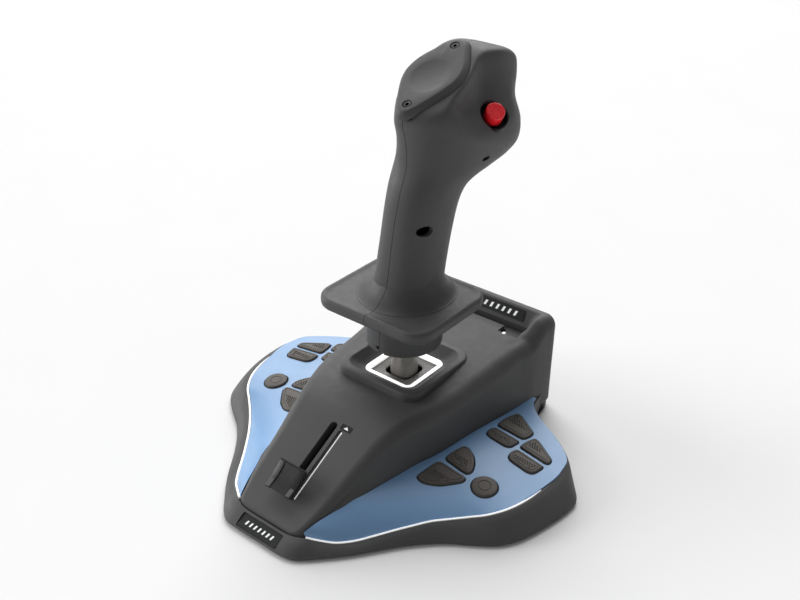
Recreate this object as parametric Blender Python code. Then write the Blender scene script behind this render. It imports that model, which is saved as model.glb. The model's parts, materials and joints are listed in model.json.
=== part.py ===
"""Desk flight joystick: a sloping base with two key wings, a spring-centred twisting stick and a throttle slider.

The joystick stands on z = 0 with its middle at the origin. +X is the user's right, +Y points away from the user,
and the stick's own axis is upright at y = STICK_Y. Lengths are in millimetres and are scaled to metres by MM.
"""

import math

import bmesh
import bpy
from mathutils import Matrix, Vector
from mathutils.bvhtree import BVHTree

MM = 0.001
GAP = 0.35                      # clearance between neighbouring pieces
FINE_GAP = 0.2                  # half of the line between the two grip shells

# Base
FOOT_TOP = 1.0
COVER_BOTTOM = 1.35
COVER_TOP = 2.15
TRAY_BOTTOM = 1.0
HOUSING_BOTTOM = 6.8
WALL = 2.2
PANEL_WALL = 1.3
STRIP_WIDTH = 1.5
STRIP_HEIGHT = 1.1

# Stick
STICK_Y = 22.0                  # upright axis of the stick
PIVOT_Z = 31.0                  # where the pitch and roll axes cross
SHAFT_RADIUS = 7.6
DUST_PLATE_Z = 43.0             # underside of the sliding plate
DUST_PLATE_WALL = 1.2
DUST_GUIDE_Z = 41.3
DUST_GUIDE_WALL = 1.2

# Opening around the stick
BEZEL_HALF = 29.4
BEZEL_TOP = 52.2
OPENING_HALF = 24.6             # hole in the upper housing
RING_OUTER_HALF = 18.0
RING_INNER_HALF = 15.0
RING_TOP = 46.8
OPENING_BOTTOM = 44.6           # underside of the bezel and of the light ring

# Grip
COLLAR_RADIUS = 22.0
COLLAR_BOTTOM = 66.2
FLANGE_BOTTOM = 89.5
FLANGE_TOP = 97.0
GRIP_WALL = 2.4
CAP_TILT = math.radians(27.5)   # slope of the head's thumb face
CAP_LOW_SCREW = Vector((0.0, 23.95, 206.6))
CAP_SCREW_SPACING = 45.7

# Throttle slider
DECK_SLOPE = math.radians(28.5)
SLOT_HALF_WIDTH = 2.3
SLIDER_Y = -75.4                # middle of the knob at the low end of its travel
SLIDER_TRAVEL = 38.0
SLOT_END = 3.6                  # slot beyond the knob's middle at each end of the travel
SCALE_X = 6.5

# Half-widths and heights of the upper housing: y, deck, shoulder height, shoulder half-width, half-width at the
# side panels, shoulder radius
HOUSING_RIBS = [
    (-94.5, 9.0, 9.0, 17.0, 18.0, 1.2),
    (-93.2, 10.7, 10.7, 21.0, 21.6, 2.0),
    (-91.2, 12.1, 12.1, 23.0, 23.3, 2.6),
    (-87.7, 13.8, 13.8, 24.4, 24.6, 3.2),
    (-76.3, 20.0, 20.0, 27.7, 28.3, 4.5),
    (-66.5, 25.3, 25.3, 29.5, 31.9, 5.5),
    (-56.7, 30.6, 30.6, 31.2, 34.7, 6.5),
    (-47.5, 35.5, 35.5, 32.8, 36.3, 7.0),
    (-38.3, 40.4, 40.4, 34.5, 37.9, 7.5),
    (-28.7, 44.0, 44.0, 37.0, 39.5, 8.0),
    (-16.7, 46.2, 46.2, 40.7, 41.6, 8.5),
    (-4.7, 47.0, 47.0, 44.4, 44.6, 9.0),
    (8.2, 47.7, 47.7, 46.4, 46.6, 9.0),
    (21.2, 48.3, 48.3, 47.6, 48.1, 9.0),
    (34.0, 49.6, 49.6, 48.3, 50.2, 9.0),
    (47.2, 51.0, 51.0, 49.6, 52.5, 9.0),
    (57.2, 52.3, 52.3, 50.6, 53.8, 8.5),
    (67.2, 53.5, 53.5, 51.7, 55.0, 8.0),
    (78.2, 55.0, 55.2, 53.0, 55.7, 8.0),
    (82.2, 55.1, 58.5, 53.5, 55.8, 8.0),
    (90.2, 55.2, 65.2, 54.2, 56.0, 7.5),
    (95.3, 65.2, 66.0, 54.8, 55.6, 7.0),
    (97.6, 66.0, 66.0, 54.2, 54.6, 6.5),
    (99.6, 65.5, 65.5, 52.6, 52.9, 6.0),
    (100.7, 63.8, 63.8, 50.6, 50.9, 5.5),
    (101.0, 61.5, 61.5, 49.2, 49.4, 5.0),
]
HOUSING_REAR = 101.0
BADGE_WALL_Y = (90.2, 95.3)
STATUS_LIGHT = (32.9, 77.6, 54.9)

# Outline of the base, right half from the nose to the rear: bottom edge x, y, then rim x, y, z and ledge drop
TRAY_STATIONS = [
    (0.0, -104.25, 0.0, -94.8, 8.0, 1.6),
    (14.0, -104.25, 14.0, -94.8, 8.2, 1.8),
    (21.5, -103.7, 20.5, -94.6, 8.6, 2.2),
    (27.0, -101.4, 25.4, -92.4, 8.6, 2.2),
    (33.0, -95.7, 31.0, -87.4, 7.0, 1.6),
    (41.2, -87.2, 38.2, -82.0, 5.7, 1.6),
    (49.5, -77.5, 44.7, -74.2, 5.3, 1.6),
    (56.5, -68.0, 50.5, -65.7, 5.9, 1.6),
    (63.0, -59.5, 56.5, -57.2, 7.0, 1.6),
    (71.0, -50.5, 62.7, -49.0, 8.1, 1.6),
    (80.5, -42.0, 69.4, -41.2, 9.6, 1.6),
    (92.0, -34.5, 76.9, -33.9, 10.3, 1.6),
    (101.5, -27.5, 84.7, -27.1, 11.4, 1.6),
    (107.5, -20.0, 92.6, -20.5, 13.0, 1.6),
    (112.0, -9.5, 99.5, -9.8, 14.3, 1.6),
    (116.0, 6.5, 103.5, 4.3, 15.0, 1.6),
    (118.0, 21.0, 104.6, 21.2, 15.3, 1.6),
    (116.8, 29.8, 104.0, 32.3, 15.3, 1.6),
    (108.0, 40.3, 101.0, 41.8, 15.3, 1.6),
    (95.0, 51.3, 89.0, 51.8, 15.5, 1.6),
    (80.2, 60.4, 76.5, 59.2, 15.8, 1.6),
    (68.6, 68.8, 66.0, 65.8, 16.0, 1.6),
    (61.4, 77.3, 59.6, 73.3, 16.3, 11.5),
    (59.4, 87.3, 57.5, 85.3, 17.0, 12.0),
    (58.4, 95.6, 56.3, 94.6, 17.0, 12.0),
    (55.8, 100.9, 54.2, 99.5, 17.0, 12.0),
    (49.0, 102.75, 48.8, 100.9, 17.0, 12.0),
    (30.0, 102.75, 30.0, 101.0, 17.0, 12.0),
    (0.0, 102.75, 0.0, 101.0, 17.0, 12.0),
]
NOSE_STATIONS = 3               # stations with a flat sloping face for the badge
PANEL_FIRST = 4                 # stations that carry a side panel and a light strip
PANEL_LAST = 22
STRIP_LAST = 15
PANEL_ROOTS = {                 # y where each panel station meets the housing, and the panel's height there
    4: (-87.3, 12.6),
    5: (-82.3, 14.4),
    6: (-75.3, 16.0),
    7: (-68.8, 17.4),
    8: (-62.2, 19.0),
    9: (-53.8, 19.2),
    10: (-42.8, 19.3),
    11: (-31.8, 19.3),
    12: (-18.8, 19.3),
    13: (-5.3, 19.2),
    14: (6.2, 19.2),
    15: (16.2, 19.2),
    16: (26.2, 19.0),
    17: (34.2, 19.0),
    18: (39.8, 19.0),
    19: (45.8, 18.8),
    20: (52.2, 18.5),
    21: (59.2, 18.3),
    22: (70.0, 18.2),
}
PANEL_ROWS = (0.0, 0.12, 0.3, 0.5, 0.7, 0.87, 1.0)

# Outlines of the panel keys on the right side; the left side mirrors them
KEYS = {
    "inner_rear_key": [(56.2, 39.4), (56.0, 48.0), (58.6, 56.6), (60.9, 57.2), (75.9, 47.6), (76.5, 44.0),
                       (75.0, 38.4)],
    "inner_front_key": [(56.8, 36.6), (54.9, 33.4), (55.6, 29.6), (58.3, 27.6), (70.8, 26.4), (73.3, 27.9),
                        (74.5, 35.4)],
    "outer_rear_key": [(77.0, 31.4), (77.8, 38.9), (79.4, 43.6), (81.6, 43.6), (96.4, 34.3), (97.4, 31.4),
                       (96.5, 29.2)],
    "outer_front_key": [(77.2, 28.6), (76.0, 24.9), (76.7, 20.4), (79.1, 18.4), (92.1, 16.6), (95.1, 18.1),
                        (96.7, 26.2)],
    "nose_side_key": [(48.6, -26.9), (47.4, -24.8), (48.9, -9.8), (50.8, -8.2), (67.3, -8.8), (69.0, -10.4),
                      (68.3, -12.9), (60.6, -22.4), (53.1, -27.0)],
    "stick_side_key": [(51.0, -4.6), (50.4, -0.2), (52.1, 10.3), (54.8, 11.9), (61.7, 7.8), (65.6, 3.2),
                       (68.1, -2.3), (67.8, -5.4), (65.4, -6.4)],
}
ROUND_KEY = (79.8, -7.4, 7.2)   # x, y and radius
KEY_PROUD = 1.2
KEY_DEPTH = 3.4
KEY_SLIT = 0.5
KEY_BEVEL = 0.6
KEY_BOARD_Z = 9.0
KEY_BOARD = [(50.0, -28.0), (70.0, -28.0), (90.0, -10.0), (98.0, 16.0), (97.0, 34.0), (78.0, 48.0),
             (62.0, 58.5), (58.4, 58.0), (55.0, 30.0)]

# Grip sections: back y, z; front y, z; half-width right, left; widest place; roundness at the back and the front
GRIP_SECTIONS = [
    (4.0, 93.5, 43.8, 93.5, 18.9, 18.9, 0.50, 2.2, 2.2),
    (6.8, 113.0, 48.4, 113.0, 17.0, 17.0, 0.50, 2.2, 2.2),
    (9.8, 131.0, 53.8, 131.0, 16.2, 16.2, 0.50, 2.2, 2.2),
    (13.8, 147.0, 58.8, 146.0, 16.3, 16.3, 0.50, 2.2, 2.2),
    (18.2, 159.0, 64.8, 154.0, 17.5, 17.0, 0.50, 2.2, 2.2),
    (23.2, 168.0, 73.5, 157.5, 20.0, 18.2, 0.50, 2.2, 2.2),
    (25.4, 177.0, 86.0, 160.0, 23.5, 18.8, 0.52, 2.2, 2.2),
    (23.2, 188.0, 96.6, 164.0, 28.0, 18.8, 0.56, 2.3, 2.3),
    (20.3, 199.0, 102.0, 171.5, 31.5, 18.0, 0.60, 2.6, 2.4),
    (29.2, 210.5, 102.4, 183.0, 30.6, 20.9, 0.60, 3.4, 2.5),
    (47.2, 220.5, 100.6, 195.0, 24.6, 21.5, 0.58, 4.0, 2.6),
    (64.2, 227.4, 103.6, 207.0, 21.0, 19.0, 0.55, 4.0, 2.8),
    (76.2, 229.0, 104.1, 215.5, 18.0, 15.5, 0.50, 3.0, 2.8),
    (87.4, 226.0, 102.4, 220.4, 10.0, 8.0, 0.50, 2.4, 2.4),
]
GRIP_POINTS = 28
GRIP_STEPS = 2                  # sections between two listed ones
# Outline of the head cap: half-width and distance along the thumb face from the low screw
CAP_OUTLINE = [(0.0, -7.6), (5.8, -5.5), (10.9, 2.8), (16.3, 13.5), (17.7, 23.0), (15.2, 34.4), (8.6, 47.0),
               (4.0, 53.0), (0.0, 55.4)]
CAP_DEPTH = 3.6
NECK_SCREW = (0.0, 21.4, 139.6)
BUTTON_AXIS = Vector((0.51, -0.38, 0.77)).normalized()
BUTTON_BASE = Vector((27.4, 63.4, 196.6))
BUTTON_HOLLOW = 34.0            # radius of the hollow in the head around the button
HOLLOW_AXIS = Vector((0.62, -0.30, 0.725)).normalized()
BUTTON_RADIUS = 5.5
TRIGGER_HALF_WIDTH = 5.5
TRIGGER_PIVOT = (91.0, 206.4)


def clear_scene():
    for old in list(bpy.data.objects):
        bpy.data.objects.remove(old, do_unlink=True)


def finish(name, colour, roughness, metallic=0.0):
    """A Principled material of one colour."""
    made = bpy.data.materials.new(name)
    made.use_nodes = True
    shader = made.node_tree.nodes["Principled BSDF"]
    shader.inputs["Base Color"].default_value = (*colour, 1.0)
    shader.inputs["Roughness"].default_value = roughness
    shader.inputs["Metallic"].default_value = metallic
    return made


def piece(name, vertices, faces, look, origin=(0.0, 0.0, 0.0)):
    """A closed mesh object from millimetre points, with its own origin."""
    start = Vector(origin)
    mesh = bpy.data.meshes.new(name)
    mesh.from_pydata([(Vector(v) - start) * MM for v in vertices], [], faces)
    shape = bmesh.new()
    shape.from_mesh(mesh)
    bmesh.ops.remove_doubles(shape, verts=shape.verts, dist=1e-7)
    bmesh.ops.recalc_face_normals(shape, faces=shape.faces)
    shape.to_mesh(mesh)
    shape.free()
    if look is not None:
        mesh.materials.append(look)
    mesh.shade_smooth()
    mesh.set_sharp_from_angle(angle=math.radians(35.0))
    made = bpy.data.objects.new(name, mesh)
    made.location = start * MM
    bpy.context.scene.collection.objects.link(made)
    bpy.context.view_layer.update()
    return made


def loft(name, rings, look, origin=(0.0, 0.0, 0.0), loop=False):
    """Skins rings of equally many points. A loop joins the last ring to the first; otherwise both ends are capped."""
    count = len(rings[0])
    vertices = [point for ring in rings for point in ring]
    faces = []
    spans = len(rings) if loop else len(rings) - 1
    for low in range(spans):
        high = (low + 1) % len(rings)
        for side in range(count):
            turn = (side + 1) % count
            faces.append((low * count + side, low * count + turn, high * count + turn, high * count + side))
    if not loop:
        for ring_index in (0, len(rings) - 1):
            ring = rings[ring_index]
            middle = sum((Vector(p) for p in ring), Vector()) / count
            vertices.append(tuple(middle))
            hub = len(vertices) - 1
            for side in range(count):
                turn = (side + 1) % count
                faces.append((ring_index * count + side, ring_index * count + turn, hub))
    return piece(name, vertices, faces, look, origin)


def prism(name, outline, bottom, top, look, origin=(0.0, 0.0, 0.0)):
    """An upright prism over a plan outline."""
    rings = [[(x, y, z) for x, y in outline] for z in (bottom, top)]
    return loft(name, rings, look, origin)


def block(name, low, high, look, origin=(0.0, 0.0, 0.0)):
    outline = [(low[0], low[1]), (high[0], low[1]), (high[0], high[1]), (low[0], high[1])]
    return prism(name, outline, low[2], high[2], look, origin)


def turned(name, profile, base, axis, look, sides=24, origin=(0.0, 0.0, 0.0), twist=0.0):
    """A solid of revolution: profile holds (distance along the axis, radius)."""
    frame = Vector(axis).to_track_quat("Z", "Y").to_matrix()
    rings = []
    for along, radius in profile:
        ring = []
        for step in range(sides):
            angle = 2.0 * math.pi * (step + twist) / sides
            local = Vector((radius * math.cos(angle), radius * math.sin(angle), along))
            ring.append(tuple(Vector(base) + frame @ local))
        rings.append(ring)
    return loft(name, rings, look, origin)


def rounded_square(half_x, half_y, radius, middle=(0.0, 0.0), corner_steps=4):
    """Plan outline of a rectangle with round corners, anticlockwise."""
    outline = []
    for quarter, (sx, sy) in enumerate(((1, 1), (-1, 1), (-1, -1), (1, -1))):
        for step in range(corner_steps + 1):
            angle = math.pi / 2.0 * (quarter + step / corner_steps)
            outline.append((
                middle[0] + sx * (half_x - radius) + radius * math.cos(angle),
                middle[1] + sy * (half_y - radius) + radius * math.sin(angle),
            ))
    return outline


def offset(outline, distance):
    """Moves an anticlockwise closed plan outline outwards along its normals."""
    moved = []
    count = len(outline)
    for index, (x, y) in enumerate(outline):
        before = Vector(outline[index - 1])
        after = Vector(outline[(index + 1) % count])
        here = Vector((x, y))
        first = (here - before).normalized()
        second = (after - here).normalized()
        normal = Vector((first.y + second.y, -first.x - second.x)).normalized()
        stretch = max(0.5, normal.dot(Vector((first.y, -first.x))))
        moved.append(tuple(here + normal * (distance / stretch)))
    return moved


def combine(target, cutter, operation):
    """Applies an exact Boolean and removes the cutter."""
    change = target.modifiers.new("cut", "BOOLEAN")
    change.operation = operation
    change.solver = "EXACT"
    change.object = cutter
    bpy.context.view_layer.update()
    graph = bpy.context.evaluated_depsgraph_get()
    made = bpy.data.meshes.new_from_object(target.evaluated_get(graph))
    target.modifiers.clear()
    old = target.data
    made.name = old.name
    target.data = made
    bpy.data.meshes.remove(old)
    bpy.data.objects.remove(cutter, do_unlink=True)
    target.data.set_sharp_from_angle(angle=math.radians(35.0))
    return target


def cut(target, cutter):
    return combine(target, cutter, "DIFFERENCE")


def join(target, other):
    return combine(target, other, "UNION")


def smooth_rows(rows, steps):
    """Rows of numbers with extra ones between, on Catmull-Rom curves through each column."""
    made = []
    for index in range(len(rows) - 1):
        before = rows[max(index - 1, 0)]
        start = rows[index]
        end = rows[index + 1]
        after = rows[min(index + 2, len(rows) - 1)]
        for step in range(steps):
            t = step / steps
            made.append(tuple(
                0.5 * (2 * b + (c - a) * t + (2 * a - 5 * b + 4 * c - d) * t * t + (3 * b - a - 3 * c + d) * t ** 3)
                for a, b, c, d in zip(before, start, end, after)
            ))
    made.append(tuple(rows[-1]))
    return made


def rib_value(y, column):
    """A column of HOUSING_RIBS at this y, on straight lines between the ribs."""
    for low, high in zip(HOUSING_RIBS, HOUSING_RIBS[1:]):
        if y <= high[0]:
            t = max(0.0, (y - low[0]) / (high[0] - low[0]))
            return low[column] + (high[column] - low[column]) * t
    return HOUSING_RIBS[-1][column]


def deck_height(y):
    return rib_value(y, 1)


def housing_half_width(y):
    """Half-width of the housing where the side panels meet it."""
    return rib_value(y, 4)


# ---------------------------------------------------------------- base shells

def housing_rib(y, deck, shoulder, half_width, foot, radius, shrink, bottom):
    """Closed cross-section of the housing at y, moved inwards by shrink."""
    half_width -= shrink
    foot -= shrink
    deck -= shrink
    shoulder -= shrink
    flat = half_width - radius
    half = [
        (0.0, deck),
        (flat * 0.35, deck),
        (flat * 0.70, deck),
        (flat * 0.93, deck),
        (flat * 0.98, shoulder),
        (flat, shoulder),
        (flat + radius * 0.50, shoulder - radius * 0.13),
        (flat + radius * 0.87, shoulder - radius * 0.50),
        (flat + radius, shoulder - radius),
        (foot, min(shoulder - radius - 1.0, 19.0)),
        (foot, bottom),
    ]
    right = [(x, y, z) for x, z in half]
    left = [(-x, y, z) for x, z in reversed(half[1:])]
    return left + right


def eroded_deck(y, reach):
    """Lowest deck height within reach of y, so that the wall keeps its thickness at steps."""
    return min(deck_height(y + shift) for shift in (-reach, 0.0, reach))


def make_upper_housing(look):
    outer = [housing_rib(*row, 0.0, HOUSING_BOTTOM) for row in HOUSING_RIBS]
    housing = loft("upper_housing", outer, look)
    inner = []
    stops = [row[0] for row in HOUSING_RIBS if HOUSING_RIBS[3][0] <= row[0] < BADGE_WALL_Y[1]]
    for y in [HOUSING_RIBS[2][0] + WALL] + stops + [BADGE_WALL_Y[1] + 1.0, HOUSING_REAR - WALL]:
        deck = eroded_deck(y, WALL + 0.6)
        shoulder = max(deck, rib_value(y, 2) - 1.0)
        sides = [rib_value(y, column) for column in (3, 4, 5)]
        inner.append(housing_rib(y, deck, shoulder, *sides, WALL, HOUSING_BOTTOM - 1.0))
    cut(housing, loft("housing_inside", inner, None))
    opening = rounded_square(OPENING_HALF, OPENING_HALF, 6.0, (0.0, STICK_Y))
    cut(housing, prism("stick_opening", opening, 38.0, 60.0, None))
    high_end = SLIDER_Y + SLIDER_TRAVEL * math.cos(DECK_SLOPE)
    cut(housing, slope_block("slider_slot", (SLIDER_Y - SLOT_END, high_end + SLOT_END), SLOT_HALF_WIDTH, 0.0))
    cut(housing, block("usb_opening", (-4.9, HOUSING_REAR - 6.0, 25.9), (4.9, HOUSING_REAR + 3.0, 30.1), None))
    cut(housing, slope_block("scale_groove", (-80.4, -41.2), 1.5, SCALE_X, (0.9, 4.0)))
    light_hole = turned("light_hole", [(-6.0, 1.5), (9.0, 1.5)], STATUS_LIGHT, (0, 0, 1), None, 12)
    return cut(housing, light_hole)


def slope_point(x, along, height):
    """A point on the sloping deck: along is measured up the slope from the slider's low end."""
    base = Vector((x, SLIDER_Y, deck_height(SLIDER_Y)))
    up = Vector((0.0, -math.sin(DECK_SLOPE), math.cos(DECK_SLOPE)))
    forward = Vector((0.0, math.cos(DECK_SLOPE), math.sin(DECK_SLOPE)))
    return base + forward * along + up * height


def slope_block(name, y_range, half_width, x, depth=(8.0, 8.0), look=None):
    """A block that follows the deck's slope between two y values; depth is below and above the deck."""
    corners = []
    for y in y_range:
        for side in (-half_width, half_width):
            for height in (-depth[0], depth[1]):
                along = (y - SLIDER_Y) / math.cos(DECK_SLOPE)
                corners.append(slope_point(x + side, along, height))
    faces = [(0, 1, 3, 2), (4, 6, 7, 5), (0, 4, 5, 1), (2, 3, 7, 6), (0, 2, 6, 4), (1, 5, 7, 3)]
    return piece(name, corners, faces, look)


def tray_frames():
    """Every station around the base: bottom edge, rim point, outward direction, rim height, ledge height, index."""
    half = [(index, row) for index, row in enumerate(TRAY_STATIONS)]
    around = [(index, 1.0, row) for index, row in half] + [(index, -1.0, row) for index, row in half[-2:0:-1]]
    rims = [Vector((side * row[2], row[3])) for _, side, row in around]
    frames = []
    for place, (index, side, row) in enumerate(around):
        tangent = (rims[(place + 1) % len(rims)] - rims[place - 1]).normalized()
        outward = Vector((tangent.y, -tangent.x))
        edge = Vector((side * row[0], row[1]))
        frames.append((edge, rims[place], outward, row[4], row[4] - row[5], index))
    return frames


def make_tray(look):
    """The lower shell: a sloping flank all round, a rim, and a ledge for the light strips and panels."""
    rings = []
    for edge, rim, outward, height, ledge, index in tray_frames():
        side_top = min(3.2, height - 1.4)
        top = rim + outward * 1.8
        bulge = 0.5 if index < NOSE_STATIONS else 0.62
        middle = edge.lerp(top, 0.5)
        wall = rim + outward * 0.45
        shelf = rim - outward * 3.6
        inside = edge - (edge - rim).normalized() * 2.2
        shelf_bottom = max(ledge - 1.1, COVER_TOP + GAP)
        section = [
            (*edge, TRAY_BOTTOM),
            (*edge, side_top),
            (*middle, side_top + (height - 0.3 - side_top) * bulge),
            (*top, height - 0.3),
            (*(rim + outward * 1.3), height),
            (*wall, height),
            (*wall, ledge),
            (*shelf, ledge),
            (*shelf, shelf_bottom),
            (*inside, COVER_TOP + GAP),
            (*inside, TRAY_BOTTOM),
        ]
        rings.append(section)
    tray = loft("tray", rings, look, loop=True)
    return cut(tray, nose_plate("badge_recess", 14.9, 4.2, 3.0, 0.75, None))


def nose_plate(name, half_width, half_length, above, below, look):
    """A plate on the sloping nose of the tray, above and below its surface."""
    low = Vector((0.0, TRAY_STATIONS[0][1], 3.2))
    high = Vector((0.0, TRAY_STATIONS[0][3] - 1.8, TRAY_STATIONS[0][4] - 0.3))
    along = (high - low).normalized()
    up = Vector((0.0, -along.z, along.y))
    middle = (low + high) / 2.0
    outline = rounded_square(half_width, half_length, 0.8, corner_steps=2)
    rings = []
    for height in (-below, above):
        rings.append([tuple(middle + Vector((x, 0, 0)) + along * y + up * height) for x, y in outline])
    return loft(name, rings, look)


def make_bottom_cover(look):
    outline = []
    for edge, rim, _, _, _, _ in tray_frames():
        inward = (edge - rim).normalized()
        outline.append(tuple(edge - inward * (2.2 + GAP)))
    cover = prism("bottom_cover", outline, COVER_BOTTOM, COVER_TOP, look)
    return cover


def panel_station(index):
    """The points of a side panel's top, from the housing to the light strip, at one station."""
    row = TRAY_STATIONS[index]
    before = TRAY_STATIONS[index - 1]
    after = TRAY_STATIONS[index + 1]
    tangent = Vector((after[2] - before[2], after[3] - before[3])).normalized()
    outward = Vector((tangent.y, -tangent.x))
    inset = STRIP_WIDTH + 0.35 if index <= STRIP_LAST else 0.1
    outer = Vector((row[2], row[3])) - outward * inset
    root_y, root_z = PANEL_ROOTS[index]
    inner = Vector((housing_half_width(root_y) + GAP, root_y))
    points = []
    for t in PANEL_ROWS:
        plan = inner.lerp(outer, t)
        fall = 0.5 * t + 0.5 * t * t
        points.append((plan.x, plan.y, root_z + (row[4] - root_z) * fall))
    return points


def make_side_panel(name, side, look, holes):
    rings = []
    for index in range(PANEL_FIRST, PANEL_LAST + 1):
        top = panel_station(index)
        under = [(x, y, z - PANEL_WALL) for x, y, z in reversed(top)]
        rings.append([(side * x, y, z) for x, y, z in top + under])
    panel = loft(name, rings, look)
    for number, outline in enumerate(holes):
        mirrored = [(side * x, y) for x, y in outline]
        cut(panel, prism(f"{name}_hole_{number}", mirrored, 8.0, 26.0, None))
    return panel


def make_light_strip(name, side, look):
    rings = []
    for index in range(PANEL_FIRST - 1, STRIP_LAST + 1):
        row = TRAY_STATIONS[index]
        before = TRAY_STATIONS[index - 1]
        after = TRAY_STATIONS[index + 1]
        tangent = Vector((after[2] - before[2], after[3] - before[3])).normalized()
        outward = Vector((tangent.y, -tangent.x))
        rim = Vector((row[2], row[3]))
        outer = rim + outward * 0.1
        inner = rim - outward * (STRIP_WIDTH - 0.1)
        top = row[4] - 0.1
        bottom = top - STRIP_HEIGHT
        section = [(*outer, bottom), (*outer, top), (*inner, top), (*inner, bottom)]
        rings.append([(side * x, y, z) for x, y, z in section])
    return loft(name, rings, look)


# ---------------------------------------------------------------- keys

def round_outline(x, y, radius, sides=20):
    return [(x + radius * math.cos(2 * math.pi * i / sides), y + radius * math.sin(2 * math.pi * i / sides))
            for i in range(sides)]


def key_outlines():
    outlines = dict(KEYS)
    outlines["round_key"] = round_outline(*ROUND_KEY)
    return {name: anticlockwise(outline) for name, outline in outlines.items()}


def anticlockwise(outline):
    area = 0.0
    for (x0, y0), (x1, y1) in zip(outline, outline[1:] + outline[:1]):
        area += x0 * y1 - x1 * y0
    return outline if area > 0 else outline[::-1]


def panel_surface():
    """The right panel's top as a tree that a vertical ray can find."""
    rows = [panel_station(index) for index in range(PANEL_FIRST, PANEL_LAST + 1)]
    vertices = [Vector(point) for row in rows for point in row]
    width = len(PANEL_ROWS)
    faces = []
    for low in range(len(rows) - 1):
        for step in range(width - 1):
            start = low * width + step
            faces.append((start, start + 1, start + width + 1, start + width))
    return BVHTree.FromPolygons(vertices, faces)


def height_on(surface, x, y):
    hit = surface.ray_cast(Vector((x, y, 100.0)), Vector((0.0, 0.0, -1.0)))[0]
    return hit.z


def make_key(name, outline, side, surface, look):
    """A key cap whose top follows the panel, with a bevelled edge and a skirt that reaches below the panel."""
    middle_x = sum(x for x, _ in outline) / len(outline)
    middle_y = sum(y for _, y in outline) / len(outline)
    floor = height_on(surface, middle_x, middle_y) - KEY_DEPTH
    inner = offset(outline, -KEY_BEVEL)
    rings = [[(side * x, y, floor) for x, y in outline]]
    rings.append([(side * x, y, height_on(surface, x, y) + KEY_PROUD - KEY_BEVEL) for x, y in outline])
    rings.append([(side * x, y, height_on(surface, x, y) + KEY_PROUD) for x, y in inner])
    return loft(name, rings, look, (side * middle_x, middle_y, floor))


# ---------------------------------------------------------------- opening around the stick

def make_bezel(look):
    """A rounded square frame whose inside slopes down to the light ring."""
    middle = (0.0, STICK_Y)
    levels = [
        (BEZEL_HALF, 46.4, 10.0),
        (BEZEL_HALF, BEZEL_TOP - 1.2, 10.0),
        (BEZEL_HALF - 1.2, BEZEL_TOP, 9.4),
        (BEZEL_HALF - 4.0, BEZEL_TOP, 8.2),
        (RING_OUTER_HALF + 1.4, RING_TOP + 0.7, 6.2),
        (RING_OUTER_HALF + GAP, RING_TOP, 5.6),
        (RING_OUTER_HALF + GAP, OPENING_BOTTOM, 5.6),
        (OPENING_HALF - 0.4, OPENING_BOTTOM, 5.8),
        (OPENING_HALF - 0.4, 48.4, 5.8),
        (OPENING_HALF + 1.2, 48.4, 7.0),
    ]
    rings = [[(x, y, z) for x, y in rounded_square(half, half, radius, middle)] for half, z, radius in levels]
    bezel = loft("gimbal_bezel", rings, look, loop=True)
    deck_cutter = []
    for row in HOUSING_RIBS[8:18]:
        deck_cutter.append([(-40.0, row[0], 20.0), (-40.0, row[0], row[1] + GAP), (40.0, row[0], row[1] + GAP),
                            (40.0, row[0], 20.0)])
    deck = loft("deck_under_bezel", deck_cutter, None)
    hollow = rounded_square(OPENING_HALF - 0.2, OPENING_HALF - 0.2, 5.9, middle)
    cut(deck, prism("deck_hollow", hollow, 10.0, 70.0, None))
    return cut(bezel, deck)


def square_tube(name, outer, inner, outer_radius, inner_radius, bottom, top, look):
    middle = (0.0, STICK_Y)
    rings = [
        [(x, y, bottom) for x, y in rounded_square(outer, outer, outer_radius, middle)],
        [(x, y, top) for x, y in rounded_square(outer, outer, outer_radius, middle)],
        [(x, y, top) for x, y in rounded_square(inner, inner, inner_radius, middle)],
        [(x, y, bottom) for x, y in rounded_square(inner, inner, inner_radius, middle)],
    ]
    return loft(name, rings, look, loop=True)


def make_dust_plates(plate_look, guide_look):
    half = RING_INNER_HALF + 5.6
    plate = prism("dust_plate", rounded_square(half, half, 3.0, (0.0, STICK_Y)), DUST_PLATE_Z,
                  DUST_PLATE_Z + DUST_PLATE_WALL, plate_look, (0.0, STICK_Y, DUST_PLATE_Z))
    hole_radius = SHAFT_RADIUS + 1.5
    hole = turned("plate_hole", [(-3.0, hole_radius), (5.0, hole_radius)], (0, STICK_Y, DUST_PLATE_Z), (0, 0, 1),
                  None, 28)
    cut(plate, hole)
    guide = prism("dust_plate_guide", rounded_square(25.0, 17.0, 2.0, (0.0, STICK_Y)), DUST_GUIDE_Z,
                  DUST_GUIDE_Z + DUST_GUIDE_WALL, guide_look, (0.0, STICK_Y, DUST_GUIDE_Z))
    window = prism("guide_window", rounded_square(17.0, 12.2, 3.0, (0.0, STICK_Y)), DUST_GUIDE_Z - 2.0,
                   DUST_GUIDE_Z + 4.0, None)
    cut(guide, window)
    return plate, guide


# ---------------------------------------------------------------- gimbal and shaft

def make_gimbal_frame(look):
    """An open box around the pitch yoke, with two bearing holes on the pitch axis."""
    outer = rounded_square(36.0, 27.0, 3.0, (0.0, STICK_Y), 2)
    frame = prism("gimbal_frame", outer, 3.2, 36.2, look)
    inner = rounded_square(32.6, 24.0, 2.0, (0.0, STICK_Y), 2)
    cut(frame, prism("frame_inside", inner, 6.2, 40.0, None))
    bearing = turned("frame_bearings", [(-40.0, 4.1), (40.0, 4.1)], (0, STICK_Y, PIVOT_Z), (1, 0, 0), None, 24)
    cut(frame, bearing)
    opening = block("frame_cable_opening", (-8.0, STICK_Y - 30.0, 10.0), (8.0, STICK_Y + 30.0, 22.0), None)
    return cut(frame, opening)


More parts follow.
